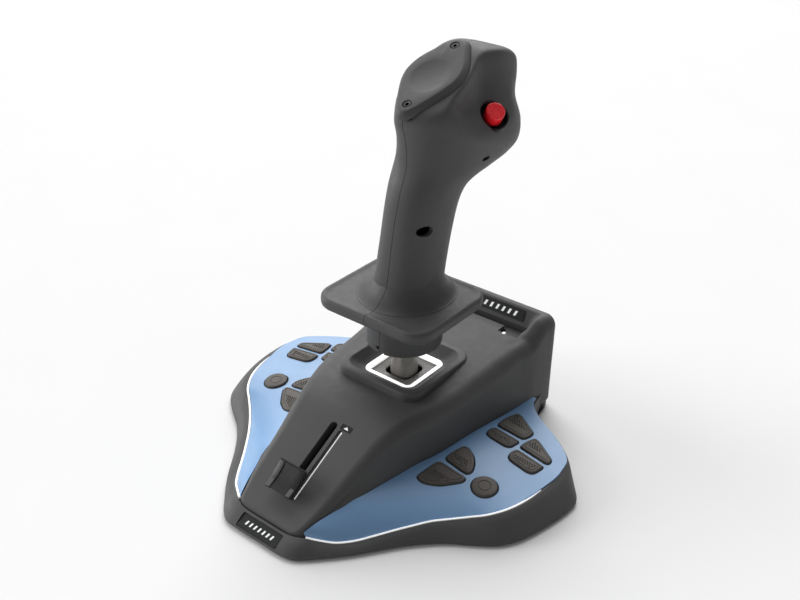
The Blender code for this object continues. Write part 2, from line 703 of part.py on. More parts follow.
def make_pitch_yoke(look):
    """A rectangular ring that turns on two journals along X."""
    pivot = (0.0, STICK_Y, PIVOT_Z)
    yoke = prism("pitch_yoke", rounded_square(26.0, 17.5, 3.0, (0.0, STICK_Y), 3), PIVOT_Z - 4.6, PIVOT_Z + 4.6,
                 look, pivot)
    window = rounded_square(21.5, 13.0, 2.0, (0.0, STICK_Y), 3)
    cut(yoke, prism("yoke_window", window, PIVOT_Z - 8.0, PIVOT_Z + 8.0, None))
    for side in (-1.0, 1.0):
        journal = turned("yoke_journal", [(0.0, 4.0), (13.6, 4.0)], (side * 24.0, STICK_Y, PIVOT_Z), (side, 0, 0),
                         None, 24)
        join(yoke, journal)
    bearing = turned("yoke_bearings", [(-20.0, 3.1), (20.0, 3.1)], pivot, (0, 1, 0), None, 20)
    return cut(yoke, bearing)


def make_roll_cradle(look):
    """The block that carries the shaft and rolls on two journals along Y."""
    pivot = (0.0, STICK_Y, PIVOT_Z)
    cradle = turned("roll_cradle", [(-17.0, 3.4), (-10.0, 6.5), (-6.0, 9.0), (6.0, 9.0), (8.2, 8.0)], pivot,
                    (0, 0, 1), look, 24, pivot)
    for side in (-1.0, 1.0):
        journal = turned("cradle_journal", [(0.0, 3.0), (13.2, 3.0)], (0.0, STICK_Y + side * 6.0, PIVOT_Z),
                         (0, side, 0), None, 20)
        join(cradle, journal)
    return cradle


def make_shaft(look):
    """The visible bell of the stick and the spindle that the grip turns on."""
    pivot = (0.0, STICK_Y, PIVOT_Z)
    profile = [(8.6, 6.6), (10.4, SHAFT_RADIUS), (18.0, SHAFT_RADIUS), (24.0, 7.2), (33.0, 7.6), (36.5, 12.5),
               (38.5, 12.5), (38.5, 7.0), (68.0, 7.0), (70.0, 6.0)]
    return turned("stick_shaft", profile, pivot, (0, 0, 1), look, 28, pivot)


def make_bushing(look):
    """The bearing sleeve between the spindle and the grip's collar, fixed to the spindle."""
    base = (0.0, STICK_Y, PIVOT_Z + 38.5 + GAP)
    bushing = turned("twist_bushing", [(0.0, 17.4), (5.0, 17.4), (7.0, 12.0), (14.0, 12.0)], base, (0, 0, 1), look,
                     28, base)
    bore = turned("bushing_bore", [(-2.0, 7.0 + GAP), (20.0, 7.0 + GAP)], base, (0, 0, 1), None, 24)
    return cut(bushing, bore)


def make_coil(name, middle, axis, coil_radius, wire_radius, turns, length, look, start=0.0):
    """A torsion spring: wire wound about an axis, with closed ends."""
    frame = Vector(axis).to_track_quat("Z", "Y").to_matrix()
    steps_per_turn = 12
    sides = 6
    rings = []
    total = turns * steps_per_turn
    for step in range(total + 1):
        angle = start + 2.0 * math.pi * step / steps_per_turn
        along = length * (step / total - 0.5)
        centre = Vector((coil_radius * math.cos(angle), coil_radius * math.sin(angle), along))
        outward = Vector((math.cos(angle), math.sin(angle), 0.0))
        upward = Vector((0.0, 0.0, 1.0))
        ring = []
        for corner in range(sides):
            turn = 2.0 * math.pi * corner / sides
            local = centre + outward * (wire_radius * math.cos(turn)) + upward * (wire_radius * math.sin(turn))
            ring.append(tuple(Vector(middle) + frame @ local))
        rings.append(ring)
    return loft(name, rings, look, middle)


# ---------------------------------------------------------------- grip

def grip_section(row, shrink):
    """Points around one grip section, moved inwards by shrink."""
    back_y, back_z, front_y, front_z, right, left, widest, back_power, front_power = row
    back = Vector((0.0, back_y, back_z))
    front = Vector((0.0, front_y, front_z))
    run = (front - back).normalized()
    back = back + run * shrink
    front = front - run * shrink
    points = []
    for step in range(GRIP_POINTS):
        angle = 2.0 * math.pi * (step + 0.5) / GRIP_POINTS
        along = math.cos(angle)
        across = math.sin(angle)
        power = back_power if along > 0.0 else front_power
        reach = abs(along) ** (2.0 / power)
        place = widest - reach * widest if along > 0.0 else widest + reach * (1.0 - widest)
        width = (right if across > 0.0 else left) - shrink
        x = math.copysign(abs(across) ** (2.0 / power), across) * width
        points.append(tuple(back.lerp(front, place) + Vector((x, 0.0, 0.0))))
    return points


def grip_body(name, shrink, first, last, look=None):
    rows = smooth_rows(GRIP_SECTIONS, GRIP_STEPS)
    return loft(name, [grip_section(row, shrink) for row in rows[first:last]], look)


def button_hollow(grow):
    """A ball that presses the thumb hollow into the head's right side."""
    radius = BUTTON_HOLLOW + grow
    middle = BUTTON_BASE + HOLLOW_AXIS * BUTTON_HOLLOW
    profile = [(-radius * math.cos(math.pi * i / 14), max(radius * math.sin(math.pi * i / 14), 0.4)) for i in range(15)]
    return turned("button_hollow", profile, middle, HOLLOW_AXIS, None, 28)


def make_grip_outside(name, look):
    """The whole grip as one solid: collar, hand rest, handle and head."""
    grip = grip_body(name, 0.0, 0, None, look)
    cut(grip, button_hollow(0.0))
    rest_outline = rounded_square(38.4, 33.0, 11.0, (0.0, 19.8), 4)
    rest = loft("hand_rest", [
        [(x, y, FLANGE_BOTTOM) for x, y in offset(rest_outline, -2.2)],
        [(x, y, FLANGE_BOTTOM + 2.4) for x, y in rest_outline],
        [(x, y, FLANGE_TOP - 0.9) for x, y in rest_outline],
        [(x, y, FLANGE_TOP) for x, y in offset(rest_outline, -1.0)],
    ], None)
    join(grip, rest)
    bloom = turned("grip_bloom", [(-1.0, 27.0), (0.6, 26.0), (3.6, 20.0), (7.6, 17.4)],
                   (0.0, 24.0, FLANGE_TOP), (0, 0.12, 1), None, 28, twist=0.5)
    join(grip, bloom)
    collar = turned("collar", [(0.0, COLLAR_RADIUS), (FLANGE_BOTTOM + 1.5 - COLLAR_BOTTOM, COLLAR_RADIUS)],
                    (0.0, STICK_Y, COLLAR_BOTTOM), (0, 0, 1), None, 32, twist=0.5)
    return join(grip, collar)


def cap_frame():
    """Unit vectors of the thumb face: up the face, and out of it."""
    along = Vector((0.0, math.cos(CAP_TILT), math.sin(CAP_TILT)))
    out = Vector((0.0, -math.sin(CAP_TILT), math.cos(CAP_TILT)))
    return along, out


def cap_prism(name, grow, low, high, look=None):
    """The head cap's outline swept out of the thumb face."""
    along, out = cap_frame()
    half = smooth_rows(CAP_OUTLINE, 2)
    outline = half + [(-x, a) for x, a in half[-2:0:-1]]
    outline = offset(anticlockwise(outline), grow)
    rings = []
    for height in (low, high):
        rings.append([tuple(CAP_LOW_SCREW + Vector((x, 0, 0)) + along * a + out * height) for x, a in outline])
    return loft(name, rings, look)


def half_space(name, side, inner):
    """A large block on one side of the middle plane."""
    low = (inner, -60.0, 40.0) if side > 0 else (-80.0, -60.0, 40.0)
    high = (80.0, 140.0, 260.0) if side > 0 else (-inner, 140.0, 260.0)
    return block(name, low, high, None)


def make_grip_shell(name, side, look):
    """One moulded half of the grip, hollow, with its bosses, openings and recesses."""
    shell = make_grip_outside(name, look)
    rows = len(smooth_rows(GRIP_SECTIONS, GRIP_STEPS))
    inside = cut(grip_body("grip_inside", GRIP_WALL, 1, rows - 2), button_hollow(GRIP_WALL))
    cut(shell, inside)
    hollow = turned("collar_inside", [(-2.0, 18.6), (28.4, 18.6), (30.0, 16.0), (39.5, 14.6)],
                    (0.0, STICK_Y, COLLAR_BOTTOM), (0, 0, 1), None, 32)
    cut(shell, hollow)
    cut(shell, cap_prism("cap_opening", 0.15, -CAP_DEPTH - GAP, 30.0))
    boss = turned("screw_boss", [(-1.3, 5.0), (12.2, 5.0)], NECK_SCREW, (side, 0, 0), None, 20)
    join(shell, boss)
    if side > 0:
        cut(shell, turned("screw_recess", [(5.0, 3.3), (22.0, 3.3)], NECK_SCREW, (1, 0, 0), None, 20, twist=0.5))
        cut(shell, turned("button_hole", [(-16.0, 6.4), (14.0, 6.4)], BUTTON_BASE, BUTTON_AXIS, None, 24, twist=0.3))
    cut(shell, turned("screw_hole", [(-8.3, 1.6), (8.3, 1.6)], NECK_SCREW, (1, 0, 0), None, 16, twist=0.37))
    along, out = cap_frame()
    for distance in (0.0, CAP_SCREW_SPACING):
        cut(shell, turned("cap_screw_way", [(-9.0, 1.6), (2.0, 1.6)], CAP_LOW_SCREW + along * distance, out, None, 14))
    trigger_opening = block("trigger_opening", (-TRIGGER_HALF_WIDTH - 0.6, 90.0, 176.6),
                            (TRIGGER_HALF_WIDTH + 0.6, 120.0, 211.0), None)
    cut(shell, trigger_opening)
    return combine(shell, half_space(name + "_side", side, FINE_GAP), "INTERSECT")


def make_head_cap(look):
    cap = grip_body("head_cap", 0.0, 0, None, look)
    combine(cap, cap_prism("cap_region", -0.15, -CAP_DEPTH, 30.0), "INTERSECT")
    along, out = cap_frame()
    for distance in (0.0, CAP_SCREW_SPACING):
        place = CAP_LOW_SCREW + along * distance
        cut(cap, turned("cap_screw_hole", [(-8.0, 1.5), (-1.8, 1.5), (-1.8, 2.7), (4.0, 2.7)], place, out, None, 16))
    return cap


def make_screw(name, place, axis, head_radius, head_height, shank_radius, shank_length, look):
    """A screw with a hexagonal socket; place is the underside of its head."""
    profile = [(-shank_length, shank_radius * 0.6), (-shank_length + 1.0, shank_radius), (0.0, shank_radius),
               (0.0, head_radius), (head_height, head_radius * 0.94)]
    screw = turned(name, profile, place, axis, look, 16, place)
    socket_radius = head_radius * 0.5
    socket = turned("socket", [(head_height * 0.4, socket_radius), (head_height + 1.0, socket_radius)], place, axis,
                    None, 6)
    return cut(screw, socket)


def make_red_button(look):
    profile = [(-9.0, 2.4), (-4.6, 2.4), (-4.6, BUTTON_RADIUS), (3.6, BUTTON_RADIUS), (4.3, BUTTON_RADIUS - 0.7)]
    return turned("red_button", profile, BUTTON_BASE, BUTTON_AXIS, look, 24, BUTTON_BASE)


def make_trigger(look):
    """A curved lever that hangs from its pivot inside the front of the head."""
    side_view = [(88.6, 208.6), (93.0, 209.6), (101.6, 207.4), (103.4, 203.0), (102.2, 197.0), (101.2, 190.0),
                 (102.6, 184.0), (103.8, 181.0), (101.8, 179.6), (98.4, 184.4), (97.4, 191.0), (97.0, 197.0),
                 (92.6, 202.4), (88.4, 204.4)]
    half_width = TRIGGER_HALF_WIDTH
    rings = [[(x, y, z) for y, z in side_view] for x in (-half_width, half_width)]
    trigger = loft("trigger", rings, look, (0.0, *TRIGGER_PIVOT))
    bore = turned("trigger_bore", [(-10.0, 1.5), (10.0, 1.5)], (0.0, *TRIGGER_PIVOT), (1, 0, 0), None, 16)
    return cut(trigger, bore)


def make_trigger_bracket(look):
    """Two ears on a plate that hold the trigger's pin behind the front of the head."""
    y, z = TRIGGER_PIVOT
    bracket = block("trigger_bracket", (-9.6, y - 12.0, z - 6.0), (9.6, y + 3.4, z + 4.2), look)
    cut(bracket, block("bracket_window", (-7.0, y - 9.6, z - 12.0), (7.0, y + 20.0, z + 20.0), None))
    return cut(bracket, turned("bracket_holes", [(-20.0, 1.5), (20.0, 1.5)], (0.0, y, z), (1, 0, 0), None, 16))


# ---------------------------------------------------------------- slider

def make_slider_knob(look):
    """The throttle knob with its stem through the slot."""
    side_view = [(-5.6, 0.8), (-7.4, 4.4), (-8.0, 6.3), (-7.4, 6.9), (-2.6, 6.3), (2.4, 6.8), (7.2, 9.0), (8.0, 8.5),
                 (7.2, 4.6), (5.6, 0.8)]
    half_width = 9.3
    rings = []
    for x in (-half_width, -half_width + 0.7, half_width - 0.7, half_width):
        edge = 0.5 if abs(x) == half_width else 0.0
        rings.append([tuple(slope_point(x, a * (1 - edge * 0.06), max(h - edge, 0.8))) for a, h in side_view])
    origin = tuple(slope_point(0.0, 0.0, 0.0))
    knob = loft("slider_knob", rings, look, origin)
    stem = []
    for height in (-10.0, 2.0):
        stem.append([tuple(slope_point(x, a, height)) for x, a in ((-1.5, -3.0), (1.5, -3.0), (1.5, 3.0), (-1.5, 3.0))])
    return join(knob, loft("slider_stem", stem, None))


def make_slider_potentiometer(look):
    """The linear sensor under the slot, an open-topped channel that the stem runs in."""
    corners = []
    middle = SLIDER_TRAVEL / 2.0
    for along in (middle - 28.0, middle + 28.0):
        corners.append([tuple(slope_point(x, along, h)) for x, h in
                        ((-4.6, -12.6), (4.6, -12.6), (4.6, -5.8), (-4.6, -5.8))])
    body = loft("slider_potentiometer", corners, look)
    groove = []
    for along in (middle - 26.0, middle + 26.0):
        groove.append([tuple(slope_point(x, along, h)) for x, h in
                       ((-2.2, -11.2), (2.2, -11.2), (2.2, 2.0), (-2.2, 2.0))])
    return cut(body, loft("potentiometer_groove", groove, None))


def make_badge_plate(look):
    """The blank plate on the wall behind the stick."""
    low = Vector((0.0, BADGE_WALL_Y[0], 55.6))
    high = Vector((0.0, BADGE_WALL_Y[1], 65.0))
    along = (high - low).normalized()
    out = Vector((0.0, -along.z, along.y))
    outline = rounded_square(36.8, 3.4, 0.8, corner_steps=2)
    rings = []
    for height in (GAP, GAP + 0.8):
        rings.append([tuple(low.lerp(high, 0.5) + Vector((x, 0, 0)) + along * y + out * height) for x, y in outline])
    return loft("rear_badge_plate", rings, look)


# ---------------------------------------------------------------- assembly

def empty_at(name, place, parent=None):
    """A joint's place, as an empty that its moving pieces hang from."""
    made = bpy.data.objects.new(name, None)
    made.empty_display_size = 0.01
    bpy.context.scene.collection.objects.link(made)
    made.location = Vector(place) * MM
    hang(made, parent)
    return made


def hang(child, parent):
    """Parents without moving the child."""
    if parent is None:
        return
    bpy.context.view_layer.update()
    child.parent = parent
    child.matrix_parent_inverse = parent.matrix_world.inverted()


def build_base(looks):
    make_tray(looks["charcoal"])
    make_bottom_cover(looks["black_metal"])
    make_upper_housing(looks["charcoal"])
    outlines = key_outlines()
    holes = [offset(outline, KEY_SLIT) for outline in outlines.values()]
    surface = panel_surface()
    for side_name, side in (("right", 1.0), ("left", -1.0)):
        make_side_panel(f"side_panel_{side_name}", side, looks["blue"], holes)
        make_light_strip(f"light_strip_{side_name}", side, looks["light"])
        for key_name, outline in outlines.items():
            make_key(f"{key_name}_{side_name}", outline, side, surface, looks["key"])
        board = anticlockwise([(side * x, y) for x, y in KEY_BOARD])
        prism(f"key_board_{side_name}", board, KEY_BOARD_Z, KEY_BOARD_Z + 1.6, looks["board"])
    nose_plate("nose_badge_plate", 14.4, 3.7, -0.05, 0.45, looks["badge"])
    make_badge_plate(looks["badge"])
    make_bezel(looks["charcoal"])
    square_tube("gimbal_light_ring", RING_OUTER_HALF, RING_INNER_HALF, 5.4, 2.6, OPENING_BOTTOM, RING_TOP,
                looks["light"])
    turned("status_light", [(-3.0, 1.1), (0.5, 1.1)], STATUS_LIGHT, (0, 0, 1), looks["light"], 12)
    slope_block("slider_scale_line", (-80.0, -41.6), 0.5, SCALE_X + 0.5, (0.55, -0.1), looks["light"])
    make_slider_potentiometer(looks["black"])
    make_usb_socket(looks["steel"])
    block("main_board", (-30.0, 52.0, 8.0), (30.0, 92.0, 9.6), looks["board"])
    for end, y in (("front", -60.0), ("rear", 52.0)):
        for side_name, side in (("right", 1.0), ("left", -1.0)):
            x = side * (44.0 if end == "front" else 70.0)
            turned(f"foot_{end}_{side_name}", [(0.0, 6.6), (0.4, 7.0), (FOOT_TOP, 7.0)], (x, y, 0.0), (0, 0, 1),
                   looks["rubber"], 24)


def make_usb_socket(look):
    shell = block("usb_socket", (-4.5, HOUSING_REAR - 10.0, 26.3), (4.5, HOUSING_REAR - 0.6, 29.7), look)
    return cut(shell, block("usb_mouth", (-4.1, HOUSING_REAR - 8.0, 26.7), (4.1, HOUSING_REAR + 4.0, 29.3), None))


def build_stick(looks):
    pivot = (0.0, STICK_Y, PIVOT_Z)
    make_gimbal_frame(looks["metal"])
    pitch = empty_at("pitch_axis", pivot)
    roll = empty_at("roll_axis", pivot, pitch)
    twist = empty_at("twist_axis", pivot, roll)
    hang(make_pitch_yoke(looks["metal"]), pitch)
    make_coil("pitch_return_spring", (29.3, STICK_Y, PIVOT_Z), (1, 0, 0), 6.0, 0.6, 2, 4.2, looks["steel"])
    roll_spring = make_coil("roll_return_spring", (0.0, STICK_Y + 10.9, PIVOT_Z), (0, 1, 0), 5.2, 0.45, 2, 2.4,
                            looks["steel"])
    hang(roll_spring, pitch)
    hang(make_roll_cradle(looks["metal"]), roll)
    hang(make_shaft(looks["pale"]), roll)
    hang(make_bushing(looks["black"]), roll)
    twist_spring = make_coil("twist_return_spring", (0.0, STICK_Y, 90.0), (0, 0, 1), 10.4, 0.7, 3, 7.0, looks["steel"])
    hang(twist_spring, roll)
    plate, guide = make_dust_plates(looks["charcoal"], looks["black"])
    guide_place = empty_at("dust_guide_place", (0.0, STICK_Y, DUST_GUIDE_Z))
    hang(guide, guide_place)
    hang(plate, guide_place)
    build_grip(looks, twist)


def build_grip(looks, twist):
    for name, side in (("grip_shell_right", 1.0), ("grip_shell_left", -1.0)):
        hang(make_grip_shell(name, side, looks["charcoal"]), twist)
    hang(make_head_cap(looks["charcoal"]), twist)
    along, out = cap_frame()
    for name, distance in (("cap_screw_low", 0.0), ("cap_screw_high", CAP_SCREW_SPACING)):
        place = CAP_LOW_SCREW + along * distance - out * 1.4
        hang(make_screw(name, place, out, 2.3, 1.2, 1.1, 5.0, looks["screw"]), twist)
    grip_screw = make_screw("grip_screw", Vector(NECK_SCREW) + Vector((5.4, 0.0, 0.0)), (1, 0, 0), 2.8, 2.0, 1.2, 12.0, looks["screw"])
    hang(grip_screw, twist)
    hang(make_red_button(looks["red"]), twist)
    trigger_axis = empty_at("trigger_axis", (0.0, *TRIGGER_PIVOT), twist)
    hang(make_trigger(looks["black"]), trigger_axis)
    hang(make_trigger_bracket(looks["metal"]), twist)
    pin = turned("trigger_pin", [(-9.4, 1.2), (9.4, 1.2)], (0.0, *TRIGGER_PIVOT), (1, 0, 0), looks["steel"], 16,
                 (0.0, *TRIGGER_PIVOT))
    hang(pin, twist)
    board = block("grip_board", (-9.0, 62.0, 176.0), (9.0, 63.6, 200.0), looks["board"])
    hang(board, twist)


def main():
    clear_scene()
    looks = {
        "charcoal": finish("charcoal_plastic", (0.045, 0.046, 0.048), 0.55),
        "blue": finish("blue_plastic", (0.19, 0.36, 0.64), 0.45),
        "light": finish("light_guide", (0.92, 0.93, 0.94), 0.30),
        "key": finish("key_plastic", (0.06, 0.055, 0.05), 0.60),
        "badge": finish("badge_plastic", (0.015, 0.016, 0.018), 0.35),
        "black": finish("black_plastic", (0.02, 0.02, 0.021), 0.45),
        "black_metal": finish("cover_steel", (0.03, 0.03, 0.032), 0.50, 1.0),
        "metal": finish("gimbal_metal", (0.45, 0.46, 0.48), 0.40, 1.0),
        "steel": finish("spring_steel", (0.60, 0.60, 0.62), 0.25, 1.0),
        "screw": finish("screw_steel", (0.03, 0.03, 0.03), 0.40, 1.0),
        "pale": finish("shaft_plastic", (0.30, 0.30, 0.30), 0.50),
        "red": finish("red_plastic", (0.62, 0.02, 0.02), 0.25),
        "rubber": finish("foot_rubber", (0.02, 0.02, 0.02), 0.85),
        "board": finish("circuit_board", (0.02, 0.11, 0.05), 0.45),
    }
    build_base(looks)
    build_stick(looks)
    slider = empty_at("slider_place", tuple(slope_point(0.0, 0.0, 0.0)))
    hang(make_slider_knob(looks["badge"]), slider)


main()
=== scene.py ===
"""Looks for the flight joystick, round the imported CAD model. Tables are in millimetres."""

import json
import math

import bmesh
import bpy
import numpy as np
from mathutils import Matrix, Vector
from mathutils.bvhtree import BVHTree

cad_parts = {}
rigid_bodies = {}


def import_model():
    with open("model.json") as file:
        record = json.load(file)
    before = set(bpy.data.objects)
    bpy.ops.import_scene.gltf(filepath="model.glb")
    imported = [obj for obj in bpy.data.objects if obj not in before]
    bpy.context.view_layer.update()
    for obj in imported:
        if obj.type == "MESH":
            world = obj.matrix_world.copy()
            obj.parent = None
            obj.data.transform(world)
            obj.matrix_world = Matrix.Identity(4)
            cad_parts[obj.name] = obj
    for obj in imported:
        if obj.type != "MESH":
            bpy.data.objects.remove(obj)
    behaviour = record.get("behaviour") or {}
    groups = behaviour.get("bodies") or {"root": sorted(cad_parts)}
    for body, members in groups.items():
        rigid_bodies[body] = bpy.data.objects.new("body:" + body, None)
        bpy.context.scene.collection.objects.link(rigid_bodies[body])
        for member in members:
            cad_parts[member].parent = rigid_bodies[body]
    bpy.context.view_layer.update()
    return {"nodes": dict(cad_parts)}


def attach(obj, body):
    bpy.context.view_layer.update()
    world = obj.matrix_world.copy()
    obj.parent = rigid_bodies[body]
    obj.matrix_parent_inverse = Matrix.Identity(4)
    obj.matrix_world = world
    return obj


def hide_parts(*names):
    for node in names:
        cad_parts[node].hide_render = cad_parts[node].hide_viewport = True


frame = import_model()

MM = 0.001
SIDES = (("right", 1.0), ("left", -1.0))
BEVEL_SEGMENTS = 3
BEVEL_ANGLE = math.radians(35.0)
GRAIN_DEPTH = 0.00004           # metres
STICK_Y = 22.0
PIVOT_Z = 31.0
DECK_SLOPE = math.radians(28.5)
SLIDER_Y = -75.4
SLIDER_TRAVEL = 38.0
CAP_TILT = math.radians(27.5)
CAP_LOW_SCREW = Vector((0.0, 23.95, 206.6))
CAP_SCREW_SPACING = 45.7
BUTTON_AXIS = Vector((0.51, -0.38, 0.77)).normalized()
BUTTON_BASE = Vector((27.4, 63.4, 196.6))
NECK_SCREW = Vector((0.0, 21.4, 139.6))
BADGE_WALL_Y = (90.2, 95.3)
STATUS_LIGHT = (32.9, 77.6, 54.9)
NOSE_FACE = (Vector((0.0, -104.25, 3.2)), Vector((0.0, -96.6, 7.7)))
BADGE_WALL = (Vector((0.0, 90.2, 55.2)), Vector((0.0, 95.3, 65.2)))
HOLLOW_AXIS = Vector((0.62, -0.30, 0.725)).normalized()
UNDER_SCREW = Vector((0.0, 59.3, 172.5))


# ---------------------------------------------------------------- mesh helpers

def mesh_piece(name, vertices, faces, look, body, smooth_angle=40.0):
    """A piece from millimetre points, riding on a body."""
    mesh = bpy.data.meshes.new(name)
    mesh.from_pydata([Vector(v) * MM for v in vertices], [], faces)
    shape = bmesh.new()
    shape.from_mesh(mesh)
    bmesh.ops.remove_doubles(shape, verts=shape.verts, dist=1e-7)
    bmesh.ops.recalc_face_normals(shape, faces=shape.faces)
    shape.to_mesh(mesh)
    shape.free()
    made = bpy.data.objects.new(name, mesh)
    bpy.context.scene.collection.objects.link(made)
    soften(made, smooth_angle)
    if look is not None:
        mesh.materials.append(look)
    if body is not None:
        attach(made, body)
    return made


def soften(made, angle=40.0):
    made.data.shade_smooth()
    made.data.set_sharp_from_angle(angle=math.radians(angle))


def loft_mesh(rings, loop=False):
    """Vertices and faces that skin rings of equally many points, capped at both ends unless it is a loop."""
    count = len(rings[0])
    vertices = [tuple(point) for ring in rings for point in ring]
    faces = []
    for low in range(len(rings) if loop else len(rings) - 1):
        high = (low + 1) % len(rings)
        for side in range(count):
            turn = (side + 1) % count
            faces.append((low * count + side, low * count + turn, high * count + turn, high * count + side))
    if not loop:
        for index in (0, len(rings) - 1):
            middle = sum((Vector(p) for p in rings[index]), Vector()) / count
            vertices.append(tuple(middle))
            hub = len(vertices) - 1
            for side in range(count):
                faces.append((index * count + side, index * count + (side + 1) % count, hub))
    return vertices, faces


def loft(name, rings, look=None, body=None, loop=False, smooth_angle=40.0):
    vertices, faces = loft_mesh(rings, loop)
    return mesh_piece(name, vertices, faces, look, body, smooth_angle)


def turned(name, profile, base, axis, look=None, body=None, sides=64, loop=False, shape=None):
    """A solid of revolution from (distance along the axis, radius); shape can scale the radius by angle."""
    turn = Vector(axis).to_track_quat("Z", "Y").to_matrix()
    rings = []
    for along, radius in profile:
        ring = []
        for step in range(sides):
            angle = 2.0 * math.pi * (step + 0.5) / sides
            reach = radius * (shape(angle, along) if shape else 1.0)
            point = Vector((reach * math.cos(angle), reach * math.sin(angle), along))
            ring.append(tuple(Vector(base) + turn @ point))
        rings.append(ring)
    return loft(name, rings, look, body, loop)


def prism(name, outline, bottom, top):
    return loft(name, [[(x, y, z) for x, y in outline] for z in (bottom, top)])


def combine(target, cutter, operation="DIFFERENCE"):
    """Applies an exact Boolean and removes the cutter."""
    change = target.modifiers.new("cut", "BOOLEAN")
    change.operation = operation
    change.solver = "EXACT"
    change.object = cutter
    bpy.context.view_layer.update()
    made = bpy.data.meshes.new_from_object(target.evaluated_get(bpy.context.evaluated_depsgraph_get()))
    target.modifiers.clear()
    old = target.data
    target.data = made
    bpy.data.meshes.remove(old)
    bpy.data.objects.remove(cutter, do_unlink=True)
    soften(target)
    return target


def bevel(made, width):
    """Rounds the sharp edges."""
    change = made.modifiers.new("bevel", "BEVEL")
    change.width = width * MM
    change.segments = BEVEL_SEGMENTS
    change.limit_method = "ANGLE"
    change.angle_limit = BEVEL_ANGLE
    change.harden_normals = True


def merge(name, parts):
    """Joins several loose pieces into one object; the first one's ride and slot stay."""
    first = parts[0]
    shape = bmesh.new()
    for part in parts:
        shape.from_mesh(part.data)
    mesh = bpy.data.meshes.new(name)
    shape.to_mesh(mesh)
    shape.free()
    for material in first.data.materials:
        mesh.materials.append(material)
    first.data = mesh
    first.name = name
    for part in parts[1:]:
        bpy.data.objects.remove(part, do_unlink=True)
    soften(first)
    return first


def smooth_rows(rows, steps, closed=False):
    """Catmull-Rom curves through each column."""
    made = []
    count = len(rows)
    spans = count if closed else count - 1
    for index in range(spans):
        if closed:
            before, start, end, after = (rows[(index + shift) % count] for shift in (-1, 0, 1, 2))
        else:
            before, start = rows[max(index - 1, 0)], rows[index]
            end, after = rows[index + 1], rows[min(index + 2, count - 1)]
        for step in range(steps):
            t = step / steps
            made.append(tuple(
                0.5 * (2 * b + (c - a) * t + (2 * a - 5 * b + 4 * c - d) * t * t
                       + (3 * b - a - 3 * c + d) * t ** 3)
                for a, b, c, d in zip(before, start, end, after)
            ))
    if not closed:
        made.append(tuple(rows[-1]))
    return made


def monotone(xs, ys, x):
    """Smooth value at x that never overshoots its neighbours (Fritsch-Carlson slopes)."""
    xs, ys = np.asarray(xs, float), np.asarray(ys, float)
    h = np.diff(xs)
    delta = np.diff(ys) / h
    slopes = np.zeros(len(xs))
    slopes[0], slopes[-1] = delta[0], delta[-1]
    for i in range(1, len(xs) - 1):
        if delta[i - 1] * delta[i] > 0:
            w1, w2 = 2 * h[i] + h[i - 1], h[i] + 2 * h[i - 1]
            slopes[i] = (w1 + w2) / (w1 / delta[i - 1] + w2 / delta[i])
    i = int(np.clip(np.searchsorted(xs, x) - 1, 0, len(h) - 1))
    t = (min(max(x, xs[0]), xs[-1]) - xs[i]) / h[i]
    return float(
        (1 + 2 * t) * (1 - t) ** 2 * ys[i] + t * (1 - t) ** 2 * h[i] * slopes[i]
        + t * t * (3 - 2 * t) * ys[i + 1] + t * t * (t - 1) * h[i] * slopes[i + 1]
    )


def rounded_square(half_x, half_y, radius, middle=(0.0, 0.0), corner_steps=12, straight_steps=6):
    """Plan outline of a rectangle with round corners, with extra points on its straight sides."""
    corners = []
    for quarter, (sx, sy) in enumerate(((1, 1), (-1, 1), (-1, -1), (1, -1))):
        corner = []
        for step in range(corner_steps + 1):
            angle = math.pi / 2.0 * (quarter + step / corner_steps)
            corner.append(Vector((middle[0] + sx * (half_x - radius) + radius * math.cos(angle),
                                  middle[1] + sy * (half_y - radius) + radius * math.sin(angle))))
        corners.append(corner)
    outline = []
    for index, corner in enumerate(corners):
        outline += corner
        following = corners[(index + 1) % 4][0]
        outline += [corner[-1].lerp(following, step / straight_steps) for step in range(1, straight_steps)]
    return [tuple(point) for point in outline]


def anticlockwise(outline):
    area = sum(x0 * y1 - x1 * y0 for (x0, y0), (x1, y1) in zip(outline, outline[1:] + outline[:1]))
    return outline if area > 0 else outline[::-1]


def round_corners(outline, radius, steps=6):
    """Replaces each corner of an anticlockwise polygon with an arc-like curve."""
    made = []
    count = len(outline)
    for index in range(count):
        here = Vector(outline[index])
        before = Vector(outline[index - 1])
        after = Vector(outline[(index + 1) % count])
        back = min(radius, (before - here).length * 0.48)
        ahead = min(radius, (after - here).length * 0.48)
        start = here + (before - here).normalized() * back
        end = here + (after - here).normalized() * ahead
        for step in range(steps + 1):
            t = step / steps
            made.append(tuple(start.lerp(here, t).lerp(here.lerp(end, t), t)))
    return made


def resample(outline, count):
    """The closed outline again with evenly spaced points."""
    points = [Vector(p) for p in outline]
    lengths = [0.0]
    for a, b in zip(points, points[1:] + points[:1]):
        lengths.append(lengths[-1] + (b - a).length)
    made = []
    index = 0
    for step in range(count):
        target = lengths[-1] * step / count
        while lengths[index + 1] < target:
            index += 1
        t = (target - lengths[index]) / max(lengths[index + 1] - lengths[index], 1e-9)
        made.append(tuple(points[index].lerp(points[(index + 1) % len(points)], t)))
    return made


def offset(outline, distance):
    """Moves an anticlockwise closed plan outline outwards."""
    moved = []
    count = len(outline)
    for index, (x, y) in enumerate(outline):
        before = Vector(outline[index - 1])
        after = Vector(outline[(index + 1) % count])
        here = Vector((x, y))
        first = (here - before).normalized()
        second = (after - here).normalized()
        normal = Vector((first.y + second.y, -first.x - second.x)).normalized()
        stretch = max(0.7, normal.dot(Vector((first.y, -first.x))))
        moved.append(tuple(here + normal * (distance / stretch)))
    return moved


# ---------------------------------------------------------------- materials

